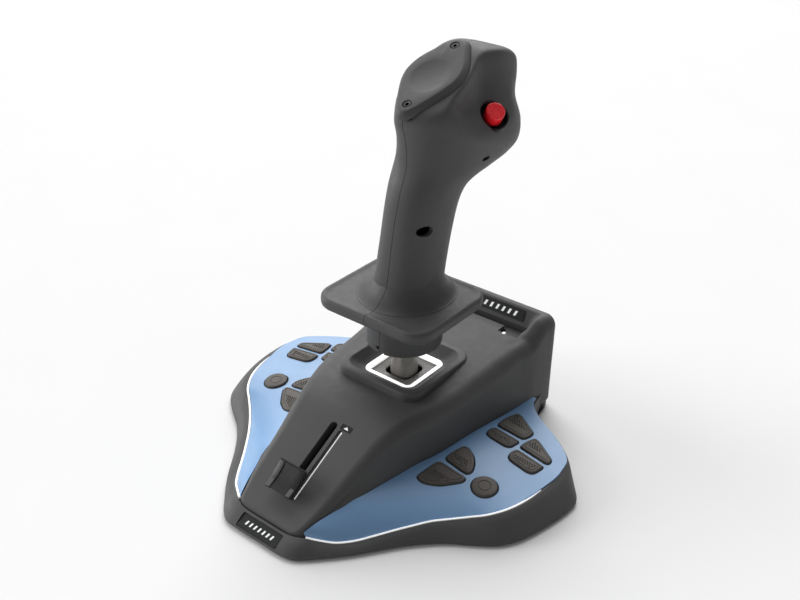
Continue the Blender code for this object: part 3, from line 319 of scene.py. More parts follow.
class Look:
    """A node material with fine grain, soft colour variation and optional patterns, all in object space."""

    def __init__(self, name, colour, roughness, metallic):
        self.material = bpy.data.materials.new(name)
        self.material.use_nodes = True
        self.nodes = self.material.node_tree.nodes
        self.links = self.material.node_tree.links
        self.shader = self.nodes["Principled BSDF"]
        self.shader.inputs["Metallic"].default_value = metallic
        self.coordinates = self.nodes.new("ShaderNodeTexCoord").outputs["Object"]
        self.colour = colour
        self.roughness = roughness

    def noise(self, scale, detail, roughness=0.5):
        node = self.nodes.new("ShaderNodeTexNoise")
        node.inputs["Scale"].default_value = scale
        node.inputs["Detail"].default_value = detail
        node.inputs["Roughness"].default_value = roughness
        self.links.new(self.coordinates, node.inputs["Vector"])
        return node.outputs["Fac"]

    def ramp(self, value, stops):
        node = self.nodes.new("ShaderNodeValToRGB")
        while len(node.color_ramp.elements) < len(stops):
            node.color_ramp.elements.new(0.5)
        for element, (place, colour) in zip(node.color_ramp.elements, stops):
            element.position = place
            element.color = (*colour, 1.0)
        self.links.new(value, node.inputs["Fac"])
        return node.outputs["Color"]

    def remap(self, value, low, high):
        """Spreads the middle of a noise's range over low to high."""
        node = self.nodes.new("ShaderNodeMapRange")
        node.inputs["From Min"].default_value = 0.3
        node.inputs["From Max"].default_value = 0.7
        node.inputs["To Min"].default_value = low
        node.inputs["To Max"].default_value = high
        self.links.new(value, node.inputs["Value"])
        return node.outputs["Result"]

    def vary(self, amount, scale, roughness_amount=0.05):
        """Broad mottling of the colour and the roughness."""
        shade = [tuple(min(1.0, c * k) for c in self.colour) for k in (1.0 - amount, 1.0, 1.0 + amount)]
        broad = self.noise(scale, 4.0)
        self.links.new(self.ramp(broad, [(0.32, shade[0]), (0.5, shade[1]), (0.68, shade[2])]),
                       self.shader.inputs["Base Color"])
        fine = self.noise(scale * 9.0, 2.0)
        low, high = self.roughness - roughness_amount, self.roughness + roughness_amount
        self.links.new(self.remap(fine, low, high), self.shader.inputs["Roughness"])

    def grain(self, scale, strength):
        """Fine moulded texture as bump."""
        bump = self.nodes.new("ShaderNodeBump")
        bump.inputs["Strength"].default_value = strength
        bump.inputs["Distance"].default_value = GRAIN_DEPTH
        self.links.new(self.noise(scale, 2.0, 0.6), bump.inputs["Height"])
        self.links.new(bump.outputs["Normal"], self.shader.inputs["Normal"])

    def glow(self, strength):
        self.shader.inputs["Emission Color"].default_value = (1.0, 1.0, 1.0, 1.0)
        self.shader.inputs["Emission Strength"].default_value = strength

    def coat(self, weight, roughness):
        self.shader.inputs["Coat Weight"].default_value = weight
        self.shader.inputs["Coat Roughness"].default_value = roughness


# Name: colour, roughness, metallic, mottling (amount, scale, change of roughness), grain (scale, strength).
LOOKS = {
    "charcoal": ((0.080, 0.080, 0.080), 0.54, 0.0, (0.05, 30.0), (2600.0, 0.30)),
    "grip": ((0.074, 0.074, 0.074), 0.52, 0.0, (0.05, 34.0), (2200.0, 0.36)),
    "blue": ((0.185, 0.335, 0.560), 0.40, 0.0, (0.03, 22.0, 0.04), (2400.0, 0.16)),
    "light": ((0.90, 0.91, 0.92), 0.35, 0.0, (0.02, 60.0, 0.03), None),
    "ring": ((0.90, 0.91, 0.92), 0.35, 0.0, (0.02, 60.0, 0.03), None),
    "key": ((0.100, 0.090, 0.082), 0.54, 0.0, (0.07, 90.0), (3000.0, 0.40)),
    "plate": ((0.165, 0.156, 0.147), 0.50, 0.0, (0.05, 60.0), (2400.0, 0.25)),
    "badge": ((0.026, 0.027, 0.028), 0.36, 0.0, (0.05, 60.0), (2600.0, 0.15)),
    "black": ((0.012, 0.012, 0.013), 0.45, 0.0, (0.08, 50.0), (2000.0, 0.25)),
    "knob": ((0.028, 0.028, 0.029), 0.38, 0.0, (0.05, 80.0), (2400.0, 0.15)),
    "knob_pad": ((0.105, 0.105, 0.107), 0.45, 0.0, (0.05, 80.0), (2400.0, 0.20)),
    "cover": ((0.030, 0.030, 0.032), 0.48, 1.0, (0.08, 25.0), (900.0, 0.30)),
    "metal": ((0.45, 0.46, 0.48), 0.38, 1.0, (0.06, 60.0), (700.0, 0.35)),
    "steel": ((0.60, 0.60, 0.62), 0.24, 1.0, (0.05, 80.0), (500.0, 0.2)),
    "screw": ((0.030, 0.030, 0.032), 0.34, 1.0, (0.06, 120.0), (1500.0, 0.2)),
    "pale": ((0.230, 0.215, 0.200), 0.42, 0.0, (0.05, 70.0), (2000.0, 0.25)),
    "red": ((0.86, 0.016, 0.026), 0.28, 0.0, (0.05, 90.0, 0.03), (1800.0, 0.10)),
    "rubber": ((0.020, 0.020, 0.021), 0.80, 0.0, (0.10, 60.0), (1600.0, 0.5)),
    "board": ((0.020, 0.105, 0.050), 0.42, 0.0, (0.10, 160.0), (900.0, 0.3)),
    "floor": ((0.80, 0.80, 0.80), 0.8, 0.0, (0.004, 1.5, 0.03), (60.0, 0.02)),
    # The white marks' look also gets a glow in GLOWS: a painted glow on print that gives no light of its own.
    "mark": ((0.80, 0.80, 0.81), 0.50, 0.0, (0.03, 90.0), (2000.0, 0.1)),
}
# The light guides and the light ring are lamps; the glow on the white marks is painted light, a glow on print
# that is no lamp.
GLOWS = {"light": 0.35, "ring": 0.8, "mark": 0.2}
DULL_LOOKS = ("charcoal", "grip", "key", "knob", "knob_pad", "badge", "black")
DULL_SPECULAR = 0.20


def make_looks():
    looks = {}
    for name, (colour, roughness, metallic, mottling, grain) in LOOKS.items():
        look = Look(name + "_look", colour, roughness, metallic)
        look.vary(*mottling)
        if grain:
            look.grain(*grain)
        if name in GLOWS:
            look.glow(GLOWS[name])
        looks[name] = look
    for name in DULL_LOOKS:
        looks[name].shader.inputs["Specular IOR Level"].default_value = DULL_SPECULAR
    looks["red"].coat(0.15, 0.12)
    return {name: look.material for name, look in looks.items()}


# ---------------------------------------------------------------- base tables
# Close to the CAD's tables; the rear wall and the rear corner of the tray are finer here.
# Each rib: y, deck, shoulder height, shoulder half-width, half-width at the side panels, shoulder radius.

HOUSING_RIBS = [
    (-94.5, 9.0, 9.0, 17.0, 18.0, 1.2),
    (-93.2, 10.7, 10.7, 21.0, 21.6, 2.0),
    (-91.2, 12.1, 12.1, 23.0, 23.3, 2.6),
    (-87.7, 13.8, 13.8, 24.4, 24.6, 3.2),
    (-76.3, 20.0, 20.0, 27.7, 28.3, 4.5),
    (-66.5, 25.3, 25.3, 29.5, 31.9, 5.5),
    (-56.7, 30.6, 30.6, 31.2, 34.7, 6.5),
    (-47.5, 35.5, 35.5, 32.8, 36.3, 7.0),
    (-38.3, 40.4, 40.4, 34.5, 37.9, 7.5),
    (-28.7, 44.0, 44.0, 37.0, 39.5, 8.0),
    (-16.7, 46.2, 46.2, 40.7, 41.6, 8.5),
    (-4.7, 47.0, 47.0, 44.4, 44.6, 9.0),
    (8.2, 47.7, 47.7, 46.4, 46.6, 9.0),
    (21.2, 48.3, 48.3, 47.6, 48.1, 9.0),
    (34.0, 49.6, 49.6, 48.3, 50.2, 9.0),
    (47.2, 51.0, 51.0, 49.6, 52.5, 9.0),
    (57.2, 52.3, 52.3, 50.6, 53.8, 8.5),
    (67.2, 53.5, 53.5, 51.7, 55.0, 8.0),
    (78.2, 55.0, 55.2, 54.6, 56.3, 8.0),
    (82.2, 55.1, 58.5, 55.2, 56.5, 8.0),
    (90.2, 55.2, 64.6, 56.1, 56.8, 7.5),
    (95.3, 65.2, 65.6, 56.8, 56.6, 7.0),
    (97.6, 65.6, 65.6, 56.4, 56.0, 6.5),
    (99.6, 65.1, 65.1, 55.0, 54.6, 6.0),
    (100.7, 63.4, 63.4, 53.0, 52.9, 5.5),
    (101.0, 61.1, 61.1, 51.6, 51.4, 5.0),
]
HOUSING_REAR = 101.0
HOUSING_BOTTOM = 6.8
# Each station, right half from the nose: bottom edge x, y, then rim x, y, z and the drop to the ledge.
TRAY_STATIONS = [
    (0.0, -104.25, 0.0, -94.8, 8.0, 1.6),
    (14.0, -104.25, 14.0, -94.8, 8.2, 1.8),
    (21.5, -103.7, 20.3, -93.9, 8.6, 2.2),
    (27.0, -101.4, 25.3, -91.4, 8.6, 2.2),
    (33.0, -95.7, 31.0, -87.4, 7.0, 1.6),
    (41.2, -87.2, 38.2, -82.0, 5.7, 1.6),
    (49.5, -77.5, 44.7, -74.2, 5.3, 1.6),
    (56.5, -68.0, 50.5, -65.7, 5.9, 1.6),
    (63.0, -59.5, 56.5, -57.2, 7.0, 1.6),
    (71.0, -50.5, 62.7, -49.0, 8.1, 1.6),
    (80.5, -42.0, 69.4, -41.2, 9.6, 1.6),
    (92.0, -34.5, 76.9, -33.9, 10.3, 1.6),
    (101.5, -27.5, 84.7, -27.1, 11.4, 1.6),
    (107.5, -20.0, 92.6, -20.5, 13.0, 1.6),
    (112.0, -9.5, 99.5, -9.8, 14.3, 1.6),
    (116.0, 6.5, 103.5, 4.3, 15.0, 1.6),
    (118.0, 21.0, 104.6, 21.2, 15.3, 1.6),
    (116.8, 29.8, 104.0, 32.3, 15.3, 1.6),
    (108.0, 40.3, 101.0, 41.8, 15.3, 1.6),
    (95.0, 51.3, 89.0, 51.8, 15.5, 1.6),
    (80.2, 60.4, 76.5, 59.2, 15.8, 1.6),
    (68.6, 68.8, 66.0, 65.8, 16.0, 1.6),
    (60.4, 76.8, 58.9, 73.3, 16.0, 11.5),
    (56.4, 86.2, 55.6, 84.8, 15.0, 10.5),
    (54.0, 94.0, 53.2, 93.2, 14.0, 10.0),
    (51.6, 99.4, 50.8, 98.4, 14.0, 10.0),
    (47.0, 102.75, 46.6, 100.9, 14.0, 10.0),
    (30.0, 102.75, 30.0, 101.0, 14.0, 10.0),
    (0.0, 102.75, 0.0, 101.0, 14.0, 10.0),
]
PANEL_FIRST = 4                 # tray stations between which a side panel lies
PANEL_LAST = 22
STRIP_LAST = 15                 # last tray station with a light strip
PANEL_THICKNESS = 1.3
PANEL_ROOTS = {                 # y and height where each panel station meets the housing
    3: (-90.9, 11.0), 4: (-87.3, 12.6), 5: (-82.3, 14.4), 6: (-75.3, 16.0),
    7: (-68.8, 17.4), 8: (-62.2, 19.0), 9: (-53.8, 19.2), 10: (-42.8, 19.3),
    11: (-31.8, 19.3), 12: (-18.8, 19.3), 13: (-5.3, 19.2), 14: (6.2, 19.2),
    15: (16.2, 19.2), 16: (26.2, 19.0), 17: (34.2, 19.0), 18: (39.8, 19.0),
    19: (45.8, 18.8), 20: (52.2, 18.5), 21: (59.2, 18.3), 22: (70.0, 18.2),
    23: (77.5, 18.1),
}
KEYS = {
    "inner_rear_key": [(56.2, 39.4), (56.0, 48.0), (58.6, 56.6), (60.9, 57.2), (75.9, 47.6), (76.5, 44.0),
                       (75.0, 38.4)],
    "inner_front_key": [(56.8, 36.6), (54.9, 33.4), (55.6, 29.6), (58.3, 27.6), (70.8, 26.4), (73.3, 27.9),
                        (74.5, 35.4)],
    "outer_rear_key": [(77.0, 31.4), (77.8, 38.9), (79.4, 43.6), (81.6, 43.6), (96.4, 34.3), (97.4, 31.4),
                       (96.5, 29.2)],
    "outer_front_key": [(77.2, 28.6), (76.0, 24.9), (76.7, 20.4), (79.1, 18.4), (92.1, 16.6), (95.1, 18.1),
                        (96.7, 26.2)],
    "nose_side_key": [(48.6, -26.9), (47.4, -24.8), (48.9, -9.8), (50.8, -8.2), (67.3, -8.8), (69.0, -10.4),
                      (68.3, -12.9), (60.6, -22.4), (53.1, -27.0)],
    "stick_side_key": [(51.0, -4.6), (50.4, -0.2), (52.1, 10.3), (54.8, 11.9), (61.7, 7.8), (65.6, 3.2),
                       (68.1, -2.3), (67.8, -5.4), (65.4, -6.4)],
}
ROUND_KEY = (79.8, -7.4, 7.2)   # x, y and radius
KEY_PROUD = 1.2
KEY_DEPTH = 3.4
KEY_CORNER = 2.4
KEY_POINTS = 72
KEY_GAP = 0.7
STUD_PITCH = 1.6
STUD_SIZE = 0.5
STUD_HEIGHT = 0.7
STUD_MARGIN = 2.9

RIB_COLUMNS = list(zip(*HOUSING_RIBS))


def rib(y, column):
    """A housing measure at a place along the base; the badge wall is straight, the rest flows."""
    if column == 1 and BADGE_WALL_Y[0] <= y <= BADGE_WALL_Y[1]:
        return float(np.interp(y, RIB_COLUMNS[0], RIB_COLUMNS[1]))
    return monotone(RIB_COLUMNS[0], RIB_COLUMNS[column], y)


def slope_point(x, along, height):
    """A point on the sloping deck; along is measured up the slope from the slider's low end."""
    base = Vector((x, SLIDER_Y, rib(SLIDER_Y, 1)))
    up = Vector((0.0, -math.sin(DECK_SLOPE), math.cos(DECK_SLOPE)))
    forward = Vector((0.0, math.cos(DECK_SLOPE), math.sin(DECK_SLOPE)))
    return base + forward * along + up * height


def slope_prism(name, outline, low, high, look=None, body=None):
    """An outline of (x, along) swept square to the sloping deck."""
    rings = [[tuple(slope_point(x, a, h)) for x, a in outline] for h in (low, high)]
    return loft(name, rings, look, body)


def face_frame(face):
    """Middle, upward direction and outward direction of a sloping face given by its low and high edges."""
    low, high = face
    along = (high - low).normalized()
    return (low + high) / 2.0, along, Vector((0.0, -along.z, along.y))


def face_rings(middle, along, out, outline, heights):
    """An outline of (x, distance along) laid on a sloping face, once for each height above it."""
    return [[tuple(middle + Vector((x, 0, 0)) + along * y + out * h) for x, y in outline] for h in heights]


def stadium(half_width, start, end, x=0.0, steps=12):
    """Outline of a slot with round ends."""
    outline = []
    for centre, turn in ((end - half_width, 0.0), (start + half_width, math.pi)):
        for step in range(steps + 1):
            angle = turn + math.pi * step / steps
            outline.append((x + half_width * math.cos(angle), centre + half_width * math.sin(angle)))
    return outline


# ---------------------------------------------------------------- base

def housing_section(y):
    """The housing's cross-section at y, from its left foot round over the deck to the right one."""
    deck, shoulder, half_width, foot, radius = (rib(y, column) for column in range(1, 6))
    flat = half_width - radius
    half = [(0.0, deck)]
    half += [(flat * t, deck) for t in (0.12, 0.24, 0.36, 0.48, 0.60, 0.72, 0.82)]
    for step in range(7):
        t = step / 6.0
        ease = t * t * (3.0 - 2.0 * t)
        half.append((flat * (0.85 + 0.14 * t), deck + (shoulder - deck) * ease))
    for step in range(13):
        angle = math.pi / 2.0 * step / 12.0
        half.append((flat + radius * math.sin(angle), shoulder - radius * (1.0 - math.cos(angle))))
    top = shoulder - radius
    low = min(top - 0.6, 19.0)
    half += [(half_width + (foot - half_width) * t, top + (low - top) * t) for t in (0.25, 0.5, 0.75)]
    half.append((foot, low))
    half.append((foot, HOUSING_BOTTOM))
    right = [(x, y, z) for x, z in half]
    left = [(-x, y, z) for x, z in reversed(half[1:])]
    return left + right


def make_housing(looks):
    low, high = HOUSING_RIBS[0][0], HOUSING_REAR
    stops = [*np.arange(low, -84.0, 0.5), *np.arange(-84.0, 70.0, 1.5), *np.arange(70.0, high, 0.5), high]
    housing = loft("upper_housing_skin", [housing_section(y) for y in stops], looks["charcoal"], "base")
    combine(housing, slope_prism("slot_cut", stadium(2.4, -4.0, SLIDER_TRAVEL + 4.0), -9.0, 6.0))
    combine(housing, slope_prism("scale_cut", stadium(1.5, -7.0, SLIDER_TRAVEL + 1.2, 6.3), -1.0, 6.0))
    legend = [(4.4, 39.6), (12.2, 39.6), (12.2, 43.4), (4.4, 43.4)]
    combine(housing, slope_prism("legend_cut", round_corners(legend, 0.8, 3), -0.5, 6.0))
    hole = rounded_square(24.6, 24.6, 6.0, (0.0, STICK_Y))
    combine(housing, prism("stick_hole", hole, 30.0, 70.0))
    gap = [(-28.4, 85.0), (28.4, 85.0), (28.4, 90.7), (-28.4, 90.7)]
    combine(housing, prism("pocket_gap", gap, 51.0, 55.6))
    for side in (-1.0, 1.0):
        ramp = [[(side * x, y, z) for y, z in ((77.4, 54.9), (90.6, 51.2), (90.6, 55.7), (77.4, 55.7))]
                for x in (28.2, 42.2)]
        combine(housing, loft("ramp_cut", ramp))
    notch = [(28.2, 84.6), (29.1, 78.3), (32.9, 79.0), (29.4, 84.6)]
    combine(housing, prism("notch_cut", anticlockwise(notch), 51.0, 57.0))
    socket = rounded_square(5.0, 2.2, 2.0, (0.0, 0.0), 6, 2)
    rings = [[(x, y, 28.0 + z) for x, z in socket] for y in (92.0, 108.0)]
    combine(housing, loft("inlet_cut", rings))
    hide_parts("upper_housing")
    return housing


def tray_rows(steps):
    """Stations all the way round the base, smoothed."""
    right = [(1.0, *row) for row in TRAY_STATIONS]
    around = [row[1:] for row in right] + [(-r[1], r[2], -r[3], r[4], r[5], r[6]) for r in right[-2:0:-1]]
    return smooth_rows(around, steps, closed=True)


def make_tray(looks):
    rows = tray_rows(6)
    rims = [Vector((row[2], row[3])) for row in rows]
    rings = []
    for place, row in enumerate(rows):
        edge = Vector((row[0], row[1]))
        rim = rims[place]
        tangent = (rims[(place + 1) % len(rims)] - rims[place - 1]).normalized()
        outward = Vector((tangent.y, -tangent.x))
        height = row[4]
        ledge = height - row[5]
        run = (edge - rim).normalized()
        side_top = min(3.0, height - 1.6)
        top = rim + outward * 1.7
        section = [(*(edge - run * 0.5), 1.0), (*(edge - run * 0.12), 1.25), (*edge, 1.8), (*edge, side_top)]
        for step in range(1, 9):
            t = step / 9.0
            plan = edge.lerp(top, t)
            crown = (1.0 - (1.0 - t) ** 1.55)
            section.append((*plan, side_top + (height - 0.35 - side_top) * crown))
        section += [
            (*top, height - 0.30),
            (*(rim + outward * 1.35), height - 0.06),
            (*(rim + outward * 0.95), height),
            (*(rim + outward * 0.55), height - 0.04),
            (*(rim + outward * 0.25), height - 0.25),
            (*(rim + outward * 0.25), ledge),
            (*(rim - outward * 3.2), ledge),
            (*(rim - outward * 3.2), max(ledge - 1.1, 2.6)),
            (*(edge - run * 2.2), 2.6),
            (*(edge - run * 2.2), 1.0),
        ]
        rings.append(section)
    tray = loft("tray_skin", rings, looks["charcoal"], "base", loop=True)
    combine(tray, nose_plate("badge_cut", 14.9, 4.2, 3.0, -0.75))
    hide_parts("tray")
    return tray


def nose_plate(name, half_width, half_length, above, below, look=None, body=None):
    """A plate with round corners on the sloping face of the nose."""
    outline = rounded_square(half_width, half_length, 0.8, corner_steps=4, straight_steps=1)
    return loft(name, face_rings(*face_frame(NOSE_FACE), outline, (below, above)), look, body)


def panel_rows(columns, steps):
    """A smooth grid over a side panel: one row per station, from the housing to the rim."""
    edges = []
    for index in range(PANEL_FIRST - 1, PANEL_LAST + 2):
        row = TRAY_STATIONS[index]
        before, after = TRAY_STATIONS[index - 1], TRAY_STATIONS[index + 1]
        tangent = Vector((after[2] - before[2], after[3] - before[3])).normalized()
        outward = Vector((tangent.y, -tangent.x))
        inset, lift = (1.25, -0.05) if index <= STRIP_LAST else (-0.9, 0.9)
        outer = Vector((row[2], row[3])) - outward * inset
        root_y, root_z = PANEL_ROOTS[index]
        if index == PANEL_FIRST - 1:
            outer = Vector((rib(root_y, 4) + 1.2, -90.4))
        if index == PANEL_LAST + 1:
            outer = Vector((57.2, 80.3))
        edges.append((rib(root_y, 4) + 0.25, root_y, root_z, outer.x, outer.y, row[4] + lift))
    rows = []
    for inner_x, inner_y, inner_z, outer_x, outer_y, outer_z in smooth_rows(edges, steps):
        row = []
        for column in range(columns + 1):
            t = column / columns
            fall = 0.5 * t + 0.5 * t * t
            x = inner_x + (outer_x - inner_x) * t
            y = inner_y + (outer_y - inner_y) * t
            row.append((x, y, inner_z + (outer_z - inner_z) * fall))
        rows.append(row)
    return rows


def panel_tree(rows):
    vertices = [Vector(point) for row in rows for point in row]
    width = len(rows[0])
    faces = []
    for low in range(len(rows) - 1):
        for step in range(width - 1):
            start = low * width + step
            faces.append((start, start + 1, start + width + 1, start + width))
    return BVHTree.FromPolygons(vertices, faces)


def height_on(surface, x, y):
    hit = surface.ray_cast(Vector((x, y, 100.0)), Vector((0.0, 0.0, -1.0)))[0]
    return hit.z if hit is not None else 17.0


def key_outlines():
    outlines = {name: resample(round_corners(anticlockwise(points), KEY_CORNER), KEY_POINTS)
                for name, points in KEYS.items()}
    x, y, radius = ROUND_KEY
    angles = [2 * math.pi * step / KEY_POINTS for step in range(KEY_POINTS)]
    outlines["round_key"] = [(x + radius * math.cos(angle), y + radius * math.sin(angle)) for angle in angles]
    return outlines


def inside(outline, x, y):
    hit = False
    for (x0, y0), (x1, y1) in zip(outline, outline[1:] + outline[:1]):
        if (y0 > y) != (y1 > y) and x < (x1 - x0) * (y - y0) / (y1 - y0) + x0:
            hit = not hit
    return hit


def make_key(name, outline, side, surface, looks):
    """A key cap with a rounded edge, an engraved line and, on the larger ones, a field of small studs."""
    middle = sum((Vector(p) for p in outline), Vector((0.0, 0.0))) / len(outline)
    floor = height_on(surface, *middle) - KEY_DEPTH
    is_round = name.startswith("round")
    groove = 3.5 if is_round else 1.5
    levels = [(0.0, None), (0.0, 0.55), (-0.12, 0.85), (-0.38, 1.08), (-0.75, KEY_PROUD),
              (-groove, KEY_PROUD + 0.05), (-groove - 0.10, KEY_PROUD - 0.22),
              (-groove - 0.36, KEY_PROUD - 0.22), (-groove - 0.48, KEY_PROUD + 0.05)]
    if not is_round:
        levels.append((-groove - 1.4, KEY_PROUD + 0.10))
    rings = []
    for distance, height in levels:
        shifted = offset(outline, distance) if distance else outline
        ring = []
        for x, y in shifted:
            z = floor if height is None else height_on(surface, x, y) + height
            ring.append((side * x, y, z))
        rings.append(ring)
    vertices, faces = loft_mesh(rings)
    if not is_round:
        top = height_on(surface, *middle) + KEY_PROUD + 0.10
        vertices[-1] = (side * middle.x, middle.y, top)
        add_studs(vertices, faces, name, outline, middle, side, surface)
    key = mesh_piece(name + "_cap", vertices, faces, looks["key"], name, 50.0)
    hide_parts(name)
    return key


def add_studs(vertices, faces, name, outline, middle, side, surface):
    """Small square studs in rows over part of the key's top."""
    field = offset(outline, -STUD_MARGIN)
    forward = 1.0 if "rear" in name else -1.0
    rows = int(28 / STUD_PITCH)
    for i in range(-rows, rows + 1):
        for j in range(-rows, rows + 1):
            x = middle.x + (i + 0.5 * (j % 2)) * STUD_PITCH
            y = middle.y + j * STUD_PITCH * 0.9
            if not inside(field, x, y):
                continue
            if (y - middle.y) * forward < -0.8:
                continue
            base = height_on(surface, x, y) + KEY_PROUD
            start = len(vertices)
            for half, height in ((STUD_SIZE, 0.0), (STUD_SIZE * 0.7, STUD_HEIGHT)):
                for dx, dy in ((0, -half), (half, 0), (0, half), (-half, 0)):
                    vertices.append((side * (x + dx), y + dy, base + height))
            faces.append((start + 3, start + 2, start + 1, start))
            faces.append((start + 4, start + 5, start + 6, start + 7))
            for k in range(4):
                turn = (k + 1) % 4
                faces.append((start + k, start + turn, start + 4 + turn, start + 4 + k))


def make_wings(looks):
    rows = panel_rows(22, 5)
    surface = panel_tree(rows)
    outlines = key_outlines()
    for side_name, side in SIDES:
        rings = []
        for row in rows:
            top = [(side * x, y, z) for x, y, z in row]
            under = [(x, y, z - PANEL_THICKNESS) for x, y, z in reversed(top)]
            rings.append(top + under)
        panel = loft(f"side_panel_{side_name}_skin", rings, looks["blue"], "base")
        for name, outline in outlines.items():
            hole = [(side * x, y) for x, y in offset(outline, KEY_GAP)]
            combine(panel, prism("hole", anticlockwise(hole), 6.0, 28.0))
        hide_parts(f"side_panel_{side_name}")
        for name, outline in outlines.items():
            make_key(f"{name}_{side_name}", outline, side, surface, looks)
        make_strip(side_name, side, looks)


STRIP_SECTION = [(0.2, -1.3), (0.2, -0.05), (0.05, 0.1), (-0.4, 0.16), (-0.85, 0.1), (-1.0, -0.05),
                 (-1.0, -1.3)]


def make_strip(side_name, side, looks):
    """The light guide along the rim, with a softly rounded top."""
    picked = [(row[2], row[3], row[4]) for row in TRAY_STATIONS[PANEL_FIRST - 1:STRIP_LAST + 2]]
    line = smooth_rows(picked, 8)[:-5]
    rings = []
    for place, (x, y, z) in enumerate(line):
        before = Vector(line[max(place - 1, 0)][:2])
        after = Vector(line[min(place + 1, len(line) - 1)][:2])
        tangent = (after - before).normalized()
        outward = Vector((tangent.y, -tangent.x))
        here = Vector((x, y))
        narrow = min(1.0, (len(line) - 1 - place) / 10.0 + 0.25)
        section = []
        for reach, height in STRIP_SECTION:
            plan = here + outward * (0.25 + (reach - 0.25) * narrow)
            section.append((side * plan.x, plan.y, z + height))
        rings.append(section)
    strip = loft(f"light_strip_{side_name}_skin", rings, looks["light"], "base")
    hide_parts(f"light_strip_{side_name}")


def square_rings(levels):
    return [[(x, y, z) for x, y in rounded_square(half, half, radius, (0.0, STICK_Y), 12, 4)]
            for half, z, radius in levels]


def make_opening(looks):
    """The bezel, light ring and dust plate, from square rings of (half-width, height, corner radius)."""
    levels = [
        (29.4, 46.4, 10.0), (29.4, 48.7, 10.0), (29.2, 48.85, 9.9), (29.2, 49.15, 9.9), (29.4, 49.3, 10.0),
        (29.35, 50.9, 10.0), (29.1, 51.6, 9.9), (28.6, 52.05, 9.7), (28.0, 52.2, 9.4), (25.4, 52.2, 8.2),
        (24.9, 52.0, 8.0), (24.0, 51.2, 7.6), (21.3, 48.9, 6.8), (19.3, 47.4, 6.2), (18.0, 46.9, 5.8),
        (18.0, 44.6, 5.8), (24.2, 44.6, 7.4), (24.2, 48.4, 7.4), (25.6, 48.4, 8.2), (25.6, 46.4, 8.2),
    ]
    bezel = loft("gimbal_bezel_skin", square_rings(levels), looks["charcoal"], "base",
                 True, 17.0)
    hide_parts("gimbal_bezel")
    ring = [(17.8, 44.4, 5.7), (17.8, 46.5, 5.7), (17.6, 46.75, 5.6), (15.4, 46.75, 2.8),
            (15.15, 46.6, 2.6), (15.15, 44.4, 2.6)]
    glow = loft("light_ring_skin", square_rings(ring), looks["ring"], "base", loop=True)
    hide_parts("gimbal_light_ring")
    half = 20.4
    plate = [(half, 43.0, 6.0), (half, 44.0, 6.0), (half - 0.3, 44.2, 5.9), (9.3, 44.2, 4.4),
             (9.0, 44.0, 4.3), (9.0, 43.0, 4.3)]
    dust = loft("dust_plate_skin", square_rings(plate), looks["plate"], "dust_plate",
                loop=True)
    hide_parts("dust_plate")


